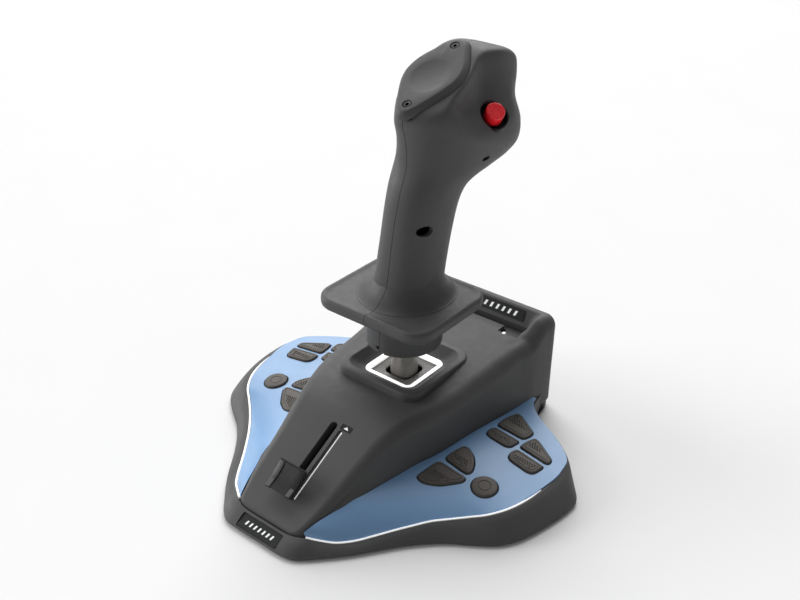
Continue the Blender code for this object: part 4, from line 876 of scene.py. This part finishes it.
def make_slider(looks):
    """The throttle knob: a ribbed, hollowed top between two cheeks, a thin cap on a narrow stem."""
    under = [(-5.6, 4.2), (-7.6, 5.0), (-8.2, 5.6), (-8.3, 6.3), (-7.9, 6.75), (-7.2, 6.8)]
    ribs = 26
    top = []
    for step in range(1, ribs):
        t = step / ribs
        height = 6.8 + 2.0 * t - 0.95 * math.sin(math.pi * t)
        top.append((-7.2 + 14.4 * t, height + 0.08 * (1 if step % 2 else -1)))
    side_view = under + top + [(7.2, 8.9), (7.9, 8.8), (8.2, 8.3), (7.8, 6.6), (5.6, 5.4)]
    core = loft("knob_core", [[tuple(slope_point(x, a, h)) for a, h in side_view] for x in (-5.4, 5.4)],
                looks["knob"], smooth_angle=25.0)
    cheeks = []
    for side in (-1.0, 1.0):
        shape = [(-5.6, 4.2), (-7.8, 5.0), (-8.6, 5.8), (-8.5, 6.7), (-8.0, 7.1), (-5.0, 6.9), (-1.0, 7.1),
                 (3.0, 7.9), (6.6, 9.0), (7.8, 9.1), (8.4, 8.5), (7.9, 6.7), (5.6, 5.4)]
        rounded = resample(round_corners(anticlockwise(shape), 0.7, 4), 60)
        rings = []
        for inset, x in ((-0.4, 5.35), (0.0, 5.6), (0.0, 9.0), (-0.12, 9.2), (-0.4, 9.3)):
            moved = offset(rounded, inset) if inset else rounded
            rings.append([tuple(slope_point(side * x, a, h)) for a, h in moved])
        cheeks.append(loft("cheek", rings, looks["knob"]))
    lip_outline = round_corners([(-9.3, 7.6), (9.3, 7.6), (9.3, 8.25), (-9.3, 8.25)], 0.2, 3)
    lip = slope_prism("lip", lip_outline, 8.7, 9.3, looks["knob"])
    stem_outline = [(-1.5, -3.0), (1.5, -3.0), (1.5, 3.0), (-1.5, 3.0)]
    stem = slope_prism("stem", stem_outline, -9.0, 6.0, looks["black"])
    knob = merge("slider_knob_skin", [core, *cheeks, lip, stem])
    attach(knob, "slider_knob")
    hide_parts("slider_knob")
    for side_name, side in SIDES:
        pad = rounded_square(1.45, 2.5, 0.4, (side * 7.35, -5.6), 4, 1)
        rings = []
        for inset, lift in ((0.0, -0.5), (0.0, 0.12), (-0.2, 0.3)):
            ring = [(x, a) for x, a in (offset(pad, inset) if inset else pad)]
            rings.append([tuple(slope_point(x, a, 6.9 + lift - 0.04 * (a + 8.0))) for x, a in ring])
        loft(f"knob_pad_{side_name}", rings, looks["knob_pad"], "slider_knob")
    scale = stadium(0.16, -6.0, SLIDER_TRAVEL + 0.4, 7.0, 6)
    line = slope_prism("scale_line_skin", scale, -1.2, -0.35, looks["light"], "base")
    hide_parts("slider_scale_line")
    tick = [(6.9, SLIDER_TRAVEL - 0.2), (8.2, SLIDER_TRAVEL - 1.1), (8.3, SLIDER_TRAVEL - 0.7),
            (7.2, SLIDER_TRAVEL + 0.3), (6.9, SLIDER_TRAVEL + 0.3)]
    slope_prism("scale_tick", anticlockwise(tick), -0.9, -0.35, looks["light"], "base")
    legend = round_corners([(4.6, 39.8), (12.0, 39.8), (12.0, 43.2), (4.6, 43.2)], 0.7, 3)
    slope_prism("legend_plate", legend, -1.0, -0.25, looks["badge"], "base")
    arrow = [(6.6, 40.7), (9.9, 40.7), (8.3, 42.4)]
    slope_prism("legend_arrow", anticlockwise(arrow), -0.6, -0.15, looks["mark"], "base")


def add_bars(name, middle, along, out, pitch, reach, count, looks):
    """A row of plain slanted bars where the real badge carries lettering."""
    for place in range(-count, count + 1):
        x = pitch * place
        bar = [(x - 0.30 * pitch, -reach), (x + 0.06 * pitch, -reach), (x + 0.30 * pitch, reach),
               (x - 0.06 * pitch, reach)]
        rings = face_rings(middle, along, out, bar, (-0.1, 0.1))
        loft(f"{name}_{place + count}", rings, looks["mark"], "base")


def make_badges(looks):
    plate = nose_plate("nose_badge_skin", 14.4, 3.7, -0.05, -0.6, looks["badge"], "base")
    bevel(plate, 0.15)
    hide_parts("nose_badge_plate")
    middle, along, out = face_frame(NOSE_FACE)
    add_bars("nose_bar", middle - out * 0.05, along, out, 3.1, 1.25, 3, looks)
    middle, along, out = face_frame(BADGE_WALL)
    middle = middle + along * 0.9
    outline = rounded_square(37.2, 3.6, 0.7, corner_steps=4, straight_steps=1)
    rings = face_rings(middle, along, out, outline, (-0.5, 0.35))
    rear = loft("rear_badge_skin", rings, looks["badge"], "base", smooth_angle=20.0)
    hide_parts("rear_badge_plate")
    add_bars("rear_bar", middle + out * 0.35, along, out, 4.4, 1.6, 7, looks)
    profile = [(-2.6, 1.1), (0.3, 1.1), (0.55, 0.8), (0.62, 0.3)]
    light = turned("status_light_skin", profile, STATUS_LIGHT, (0, 0, 1), looks["light"], "base",
                   24)
    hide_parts("status_light")


# ---------------------------------------------------------------- grip

# Each section: back y, z; front y, z; half-width right, left; widest place; roundness at the back and front.
GRIP_SECTIONS = [
    (4.0, 93.5, 43.8, 93.5, 18.9, 18.9, 0.50, 2.2, 2.2),
    (7.6, 113.0, 49.4, 113.0, 17.7, 17.2, 0.50, 2.5, 2.2),
    (10.8, 131.0, 55.0, 131.0, 17.2, 16.5, 0.50, 2.5, 2.2),
    (14.4, 147.0, 60.4, 146.0, 17.5, 16.8, 0.50, 2.5, 2.2),
    (18.2, 159.0, 66.4, 154.0, 18.6, 17.6, 0.50, 2.5, 2.2),
    (22.2, 168.0, 74.4, 157.3, 20.8, 18.8, 0.50, 2.4, 2.2),
    (23.8, 177.0, 86.2, 159.8, 24.0, 19.0, 0.52, 2.3, 2.2),
    (22.4, 188.0, 96.6, 164.0, 28.0, 18.2, 0.56, 2.3, 2.3),
    (20.3, 199.0, 102.0, 171.5, 31.5, 17.0, 0.60, 2.6, 2.4),
    (29.2, 210.5, 102.4, 183.0, 30.6, 18.8, 0.60, 3.4, 2.5),
    (47.2, 220.5, 100.6, 195.0, 24.6, 18.6, 0.58, 4.0, 2.6),
    (64.2, 226.8, 103.6, 207.0, 21.0, 15.6, 0.55, 4.0, 2.8),
    (76.2, 228.6, 104.1, 215.5, 18.0, 12.5, 0.50, 3.0, 2.8),
    (87.4, 226.0, 102.4, 220.4, 10.0, 8.0, 0.50, 2.4, 2.4),
]
GRIP_POINTS = 96
GRIP_STEPS = 9
# Half outlines of the head cap: half-width and distance up the thumb face from the low screw.
CAP_SEAM = [(0.0, -8.4), (3.0, -7.6), (5.6, -4.8), (8.6, 0.2), (11.6, 5.8), (14.6, 11.6), (17.2, 17.6),
            (18.4, 23.6), (17.8, 29.6), (15.6, 35.6), (11.8, 42.2), (6.8, 49.8), (3.2, 53.4), (0.0, 54.8)]
CAP_FACE = [(0.0, -5.4), (2.0, -4.8), (4.2, -2.4), (6.8, 2.0), (9.4, 7.3), (12.0, 13.0), (14.3, 19.0),
            (15.2, 24.2), (14.6, 29.6), (12.4, 35.2), (9.2, 40.4), (5.9, 45.9), (3.0, 49.0), (0.0, 50.0)]
SEAM_HEIGHT = -2.2
DROOP_START = 44.0
DISH_PLACE = 21.6
GRIP_WALL = 2.4


def grip_section(row, shrink):
    back_y, back_z, front_y, front_z, right, left, widest, back_power, front_power = row
    back = Vector((0.0, back_y, back_z))
    front = Vector((0.0, front_y, front_z))
    run = (front - back).normalized()
    back = back + run * shrink
    front = front - run * shrink
    points = []
    for step in range(GRIP_POINTS):
        angle = 2.0 * math.pi * (step + 0.5) / GRIP_POINTS
        along = math.cos(angle)
        across = math.sin(angle)
        blend = 0.5 + 0.5 * math.tanh(along * 6.0)
        power = front_power + (back_power - front_power) * blend
        reach = abs(along) ** (2.0 / power)
        place = widest - reach * widest if along > 0.0 else widest + reach * (1.0 - widest)
        side = 0.5 + 0.5 * math.tanh(across * 8.0)
        width = left + (right - left) * side - shrink
        x = math.copysign(abs(across) ** (2.0 / power), across) * width
        points.append(back.lerp(front, place) + Vector((x, 0.0, 0.0)))
    return points


def smooth_least(first, second, softness):
    """The lesser of two numbers, rounded where they cross."""
    h = max(softness - abs(first - second), 0.0) / softness
    return min(first, second) - h * h * softness * 0.25


def press_hollow(point, depth):
    """Presses the broad thumb hollow round the red button into the head, with a soft edge."""
    rel = point - BUTTON_BASE
    along = rel.dot(HOLLOW_AXIS)
    radial = (rel - HOLLOW_AXIS * along).length
    if radial > 40.0 or along < -14.0:
        return point
    pressed = smooth_least(along, radial * radial / 84.0 - depth, 10.0)
    fade = 1.0 - min(max((radial - 16.0) / 24.0, 0.0), 1.0)
    fade = fade * fade * (3.0 - 2.0 * fade)
    return point + HOLLOW_AXIS * ((pressed - along) * fade)


def cap_frame():
    along = Vector((0.0, math.cos(CAP_TILT), math.sin(CAP_TILT)))
    out = Vector((0.0, -math.sin(CAP_TILT), math.cos(CAP_TILT)))
    return along, out


def cap_outline(blend):
    """Outline of (x, distance up the face): 0 is the seam, 1 the edge of the flat face."""
    seam, face = smooth_rows(CAP_SEAM, 6), smooth_rows(CAP_FACE, 6)
    half = [(x0 + (x1 - x0) * blend, a0 + (a1 - a0) * blend) for (x0, a0), (x1, a1) in zip(seam, face)]
    return half + [(-x, a) for x, a in half[-2:0:-1]]


def cap_droop(distance):
    """How far the seam bends down towards the top of the head."""
    return 0.020 * max(distance - DROOP_START, 0.0) ** 2


def cap_ring(grow, height, blend=0.0):
    along, out = cap_frame()
    outline = anticlockwise(cap_outline(blend))
    if grow:
        outline = offset(outline, grow)
    return [CAP_LOW_SCREW + Vector((x, 0, 0)) + along * a + out * (height - cap_droop(a) * (1.0 - blend))
            for x, a in outline]


def distance_outside(points, outline):
    """How far each plan point lies outside a closed outline; points inside give 0."""
    points, ends = np.asarray(points), np.asarray(outline)
    starts, edges = ends, np.roll(ends, -1, axis=0) - ends
    rel = points[:, None, :] - starts[None, :, :]
    t = np.clip((rel * edges).sum(-1) / (edges * edges).sum(-1), 0.0, 1.0)
    reach = np.linalg.norm(rel - edges * t[..., None], axis=-1).min(axis=1)
    stops = starts + edges
    crosses = ((starts[:, 1] > points[:, 1:2]) != (stops[:, 1] > points[:, 1:2])) & (
        points[:, 0:1] < starts[:, 0] + edges[:, 0] * (points[:, 1:2] - starts[:, 1])
        / np.where(edges[:, 1] == 0.0, 1e-9, edges[:, 1]))
    return np.where(crosses.sum(axis=1) % 2 == 1, 0.0, reach)


def cap_reaches(ring):
    """How far each point of a ring lies outside the cap's seam, seen square to the cap."""
    along, _ = cap_frame()
    return distance_outside([(p.x, (p - CAP_LOW_SCREW).dot(along)) for p in ring], cap_outline(0.0))


def head_ring(row, shrink):
    """A grip section with the hollow pressed in and the head lowered to meet the cap's seam."""
    along, out = cap_frame()
    made = []
    section = grip_section(row, shrink)
    for point, reach in zip(section, cap_reaches(section)):
        ease = min((reach + shrink) / 9.0, 1.0)
        ease = ease * ease * (3.0 - 2.0 * ease)
        made.append(point.lerp(press_hollow(point, 2.0 * shrink), ease))
    for place, reach in enumerate(cap_reaches(made)):
        height = (made[place] - CAP_LOW_SCREW).dot(out)
        limit = SEAM_HEIGHT - 0.12 * reach - shrink - cap_droop((made[place] - CAP_LOW_SCREW).dot(along))
        if height > limit - 2.0:
            made[place] = made[place] + out * (smooth_least(height, limit, 2.0) - height)
    return made


def grip_rings(shrink=0.0, first=0, last=None):
    rows = smooth_rows(GRIP_SECTIONS, GRIP_STEPS)
    return [head_ring(row, shrink) for row in rows[first:last]]


def make_grip(looks):
    rows = len(smooth_rows(GRIP_SECTIONS, GRIP_STEPS))
    body = loft("grip_skin", grip_rings())
    inner = loft("grip_inside", grip_rings(GRIP_WALL, GRIP_STEPS, rows - GRIP_STEPS))
    combine(body, inner)
    combine(body, loft("cap_opening", [cap_ring(0.12, -4.4), cap_ring(0.12, 30.0)]))
    recess = turned("screw_recess", [(5.0, 2.9), (24.0, 2.9)], NECK_SCREW, (1, 0, 0), sides=40,
                    shape=lambda angle, along: 1.0 / math.hypot(math.cos(angle) / 1.6, math.sin(angle)))
    combine(body, recess)
    under = turned("under_recess", [(8.0, 1.4), (40.0, 1.4)], UNDER_SCREW, (1, 0, 0), sides=40,
                   shape=lambda angle, along: 1.0 / math.hypot(math.cos(angle) / 2.1, math.sin(angle)))
    combine(body, under)
    profile = [(-12.0, 3.0), (-7.0, 3.0), (-7.0, 7.9), (-1.0, 8.0), (14.0, 8.2)]
    hole = turned("button_recess", profile, BUTTON_BASE, BUTTON_AXIS, sides=56)
    combine(body, hole)
    opening = rounded_square(6.1, 17.2, 2.0, (0.0, 193.8), 5, 2)
    combine(body, loft("trigger_opening", [[(x, y, z) for x, z in opening] for y in (88.0, 122.0)]))
    split_shell(body, "grip_body", looks["grip"])
    rest = make_rest()
    split_shell(rest, "hand_rest", looks["grip"])
    for side in ("right", "left"):
        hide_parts(f"grip_shell_{side}")


def split_shell(whole, name, look):
    """Cuts a piece along the middle plane into its two moulded halves with a fine line between them."""
    for side_name, side in SIDES:
        copy = whole.copy()
        copy.data = whole.data.copy()
        bpy.context.scene.collection.objects.link(copy)
        low, high = sorted((side * 0.14, side * 90.0))
        box = [(low, -70.0), (high, -70.0), (high, 150.0), (low, 150.0)]
        combine(copy, prism("half", box, 40.0, 260.0), "INTERSECT")
        copy.name = f"{name}_{side_name}"
        copy.data.materials.clear()
        copy.data.materials.append(look)
        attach(copy, "grip")
    bpy.data.objects.remove(whole, do_unlink=True)


def make_rest():
    """The hand rest with its raised lip, the swell round the neck and the collar below it."""
    middle = (0.0, 19.8)
    collar_bottom = (0.0, STICK_Y, 66.2)
    levels = []
    for grow, z in ((-14.0, 88.8), (-4.0, 89.5), (-1.4, 90.2), (-0.4, 91.2), (0.0, 92.6), (0.0, 95.0),
                    (-0.25, 95.9), (-0.9, 96.8), (-1.9, 97.2), (-2.8, 97.15), (-3.7, 96.8), (-4.6, 96.6),
                    (-7.0, 96.6)):
        corner = max(3.0, 13.0 + grow)
        levels.append([(x, y, z) for x, y in rounded_square(39.0 + grow, 33.3 + grow, corner, middle, 14, 8)])
    plate = loft("rest_plate", levels)
    swell_profile = [(-1.6, 28.6), (0.3, 28.6), (0.5, 27.9), (0.9, 26.9), (1.7, 25.5), (3.0, 23.9),
                     (5.0, 22.2), (8.0, 20.4), (11.4, 18.8), (14.6, 17.9), (18.2, 17.2), (22.0, 16.4)]
    angles = [2.0 * math.pi * (step + 0.5) / 96 for step in range(96)]
    rings = []
    for rise, radius in smooth_rows(swell_profile, 4):
        centre = 24.3 + 0.24 * max(rise, 0.0)
        rings.append([(radius * math.cos(t), centre + 1.04 * radius * math.sin(t), 96.4 + rise)
                      for t in angles])
    swell = loft("rest_swell", rings)
    combine(plate, swell, "UNION")
    collar_profile = [(0.0, 18.6), (0.0, 21.5), (0.25, 22.0), (0.8, 22.2), (23.4, 22.2), (24.0, 18.6)]
    collar = turned("rest_collar", collar_profile, collar_bottom, (0, 0, 1), sides=96, loop=True)
    combine(plate, collar, "UNION")
    hollow_profile = [(-3.0, 18.5), (26.0, 18.5), (28.0, 15.0)]
    hollow = turned("rest_hollow", hollow_profile, collar_bottom, (0, 0, 1), sides=80)
    combine(plate, hollow)
    hole = turned("collar_hole", [(-4.0, 1.1), (4.0, 1.1)], (-1.5, STICK_Y - 22.0, 69.8), (0, 1, 0), sides=20)
    combine(plate, hole)
    notch = prism("collar_notch", [(-1.0, -6.0), (2.6, -6.0), (2.6, 6.0), (-1.0, 6.0)], 64.0, 67.8)
    return combine(plate, notch)


def make_cap(looks):
    """The raised thumb plate: a flat leaf with a shallow dish, a rounded edge and a sloping skirt."""
    along, out = cap_frame()
    rings = [cap_ring(0.0, SEAM_HEIGHT - 1.2)]
    profile = ((0.0, -2.4), (0.03, -2.0), (0.12, -1.5), (0.32, -0.75), (0.58, 0.0), (0.82, 0.5), (0.94, 0.68),
               (1.0, 0.72))
    for blend, height in profile:
        rings.append(cap_ring(0.0, height, blend))
    cap = loft("head_cap_skin", rings, looks["grip"])
    bowl = [(0.0085 * r * r - 1.38, r) for r in range(1, 13)]
    dish = turned("dish", [(-1.38, 0.3)] + bowl + [(1.0, 14.0), (6.0, 15.0)],
                  CAP_LOW_SCREW + along * DISH_PLACE + out, out, sides=72,
                  shape=lambda angle, height: 1.0 / math.hypot(math.cos(angle) / 0.98,
                                                               math.sin(angle) / 1.12))
    combine(cap, dish)
    for distance in (0.0, CAP_SCREW_SPACING):
        place = CAP_LOW_SCREW + along * distance
        sink = turned("sink", [(-3.4, 2.45), (0.2, 2.45), (1.3, 3.1), (3.0, 3.1)], place, out, sides=40)
        combine(cap, sink)
    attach(cap, "grip")
    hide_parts("head_cap")
    for name, distance in (("cap_screw_low", 0.0), ("cap_screw_high", CAP_SCREW_SPACING)):
        place = CAP_LOW_SCREW + along * distance
        profile = [(-3.2, 1.0), (-1.0, 1.0), (-1.0, 2.3), (0.1, 2.3), (0.35, 2.1), (0.4, 1.8)]
        screw = turned(name + "_skin", profile, place, out, looks["screw"], "grip", 40)
        combine(screw, turned("hex", [(-0.9, 1.15), (2.0, 1.15)], place, out, sides=6))
        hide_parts(name)


def make_button(looks):
    profile = [(-6.4, 2.4), (-3.6, 2.4), (-3.6, 5.25), (2.8, 5.25), (3.2, 5.2), (3.5, 5.0), (3.65, 4.6),
               (3.55, 3.6), (3.45, 2.0), (3.4, 0.6)]
    button = turned("red_button_skin", profile, BUTTON_BASE, BUTTON_AXIS, looks["red"], "red_button",
                    64)
    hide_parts("red_button")
    well = [(-7.6, 2.8), (-7.6, 8.6), (-2.2, 8.8), (-1.6, 8.6), (-1.6, 7.8), (-6.6, 7.6), (-6.6, 2.8)]
    turned("button_well", well, BUTTON_BASE, BUTTON_AXIS, looks["black"], "grip", 56,
           loop=True)


def flutes(angle, along):
    """Six shallow flutes that fade out near the dust plate."""
    fade = min(max((along - 17.5) / 6.0, 0.0), 1.0)
    square = 1.0 / (abs(math.cos(angle)) ** 3 + abs(math.sin(angle)) ** 3) ** (1.0 / 3.0)
    return (1.0 - fade) * square + fade * (1.0 + 0.06 * math.cos(6.0 * angle))


def make_shaft(looks):
    profile = [(8.6, 6.2), (10.4, 7.0), (13.0, 7.3), (16.0, 7.3), (19.0, 7.1), (24.0, 6.9), (30.0, 7.2),
               (35.0, 7.8)]
    shaft = turned("stick_shaft_skin", profile, (0.0, STICK_Y, PIVOT_Z), (0, 0, 1), looks["pale"], "stick",
                   96, shape=flutes)
    upper = turned("spindle", [(34.0, 12.5), (38.5, 12.5), (38.5, 7.0), (68.0, 7.0), (70.0, 6.0)],
                   (0.0, STICK_Y, PIVOT_Z), (0, 0, 1), looks["pale"], sides=48)
    merge("stick_shaft_skin", [shaft, upper])
    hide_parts("stick_shaft")


def dress_cad(looks):
    """Better materials on the CAD nodes whose shape stays."""
    plan = {
        "cover": ["bottom_cover"],
        "metal": ["gimbal_frame", "pitch_yoke", "roll_cradle", "trigger_bracket"],
        "steel": ["pitch_return_spring", "roll_return_spring", "twist_return_spring", "usb_socket",
                  "trigger_pin"],
        "screw": ["grip_screw"],
        "black": ["dust_plate_guide", "slider_potentiometer", "twist_bushing", "trigger"],
        "rubber": ["foot_front_right", "foot_front_left", "foot_rear_right", "foot_rear_left"],
        "board": ["main_board", "key_board_right", "key_board_left", "grip_board"],
    }
    for look, names in plan.items():
        for name in names:
            node = frame["nodes"][name]
            node.data.materials.clear()
            node.data.materials.append(looks[look])


# ---------------------------------------------------------------- studio

FLOOR_HALF = 12.0
SKY_STRENGTH = 0.25
LIGHTS = (                      # name, direction towards the light, strength, width in degrees
    ("key_light", (-0.46, 0.58, 0.67), 3.3, 60.0),
    ("left_light", (-0.95, -0.38, 0.22), 3.0, 45.0),
    ("right_light", (0.90, 0.45, 0.30), 0.10, 60.0),
)
CAMERA_PLACE = (0.3100, -0.36475, 0.38106)
CAMERA_AZIMUTH = math.radians(39.0)
CAMERA_ELEVATION = math.radians(30.3)
LENS = 45.4
SENSOR_WIDTH = 36.0


def make_floor(look):
    corners = [(-FLOOR_HALF, -FLOOR_HALF, 0.0), (FLOOR_HALF, -FLOOR_HALF, 0.0), (FLOOR_HALF, FLOOR_HALF, 0.0),
               (-FLOOR_HALF, FLOOR_HALF, 0.0)]
    mesh = bpy.data.meshes.new("floor")
    mesh.from_pydata(corners, [], [(0, 1, 2, 3)])
    mesh.materials.append(look)
    floor = bpy.data.objects.new("floor", mesh)
    bpy.context.scene.collection.objects.link(floor)


def make_lights():
    world = bpy.data.worlds.new("studio")
    world.use_nodes = True
    background = world.node_tree.nodes["Background"]
    background.inputs["Color"].default_value = (1.0, 1.0, 1.0, 1.0)
    background.inputs["Strength"].default_value = SKY_STRENGTH
    bpy.context.scene.world = world
    bpy.context.scene.view_settings.view_transform = "Standard"
    for name, toward, strength, softness in LIGHTS:
        data = bpy.data.lights.new(name, "SUN")
        data.energy = strength
        data.angle = math.radians(softness)
        light = bpy.data.objects.new(name, data)
        light.location = toward
        light.rotation_euler = Vector(toward).to_track_quat("Z", "Y").to_euler()
        bpy.context.scene.collection.objects.link(light)


def make_camera():
    camera_data = bpy.data.cameras.new("camera")
    camera_data.lens = LENS
    camera_data.sensor_width = SENSOR_WIDTH
    camera = bpy.data.objects.new("camera", camera_data)
    level = math.cos(CAMERA_ELEVATION)
    back = Vector((math.sin(CAMERA_AZIMUTH) * level, -math.cos(CAMERA_AZIMUTH) * level,
                   math.sin(CAMERA_ELEVATION)))
    camera.location = CAMERA_PLACE
    camera.rotation_euler = (-back).to_track_quat("-Z", "Y").to_euler()
    bpy.context.scene.collection.objects.link(camera)
    bpy.context.scene.camera = camera


def main():
    looks = make_looks()
    make_floor(looks["floor"])
    make_lights()
    make_camera()
    make_tray(looks)
    make_housing(looks)
    make_wings(looks)
    make_opening(looks)
    make_slider(looks)
    make_badges(looks)
    make_grip(looks)
    make_cap(looks)
    make_button(looks)
    make_shaft(looks)
    dress_cad(looks)


main()
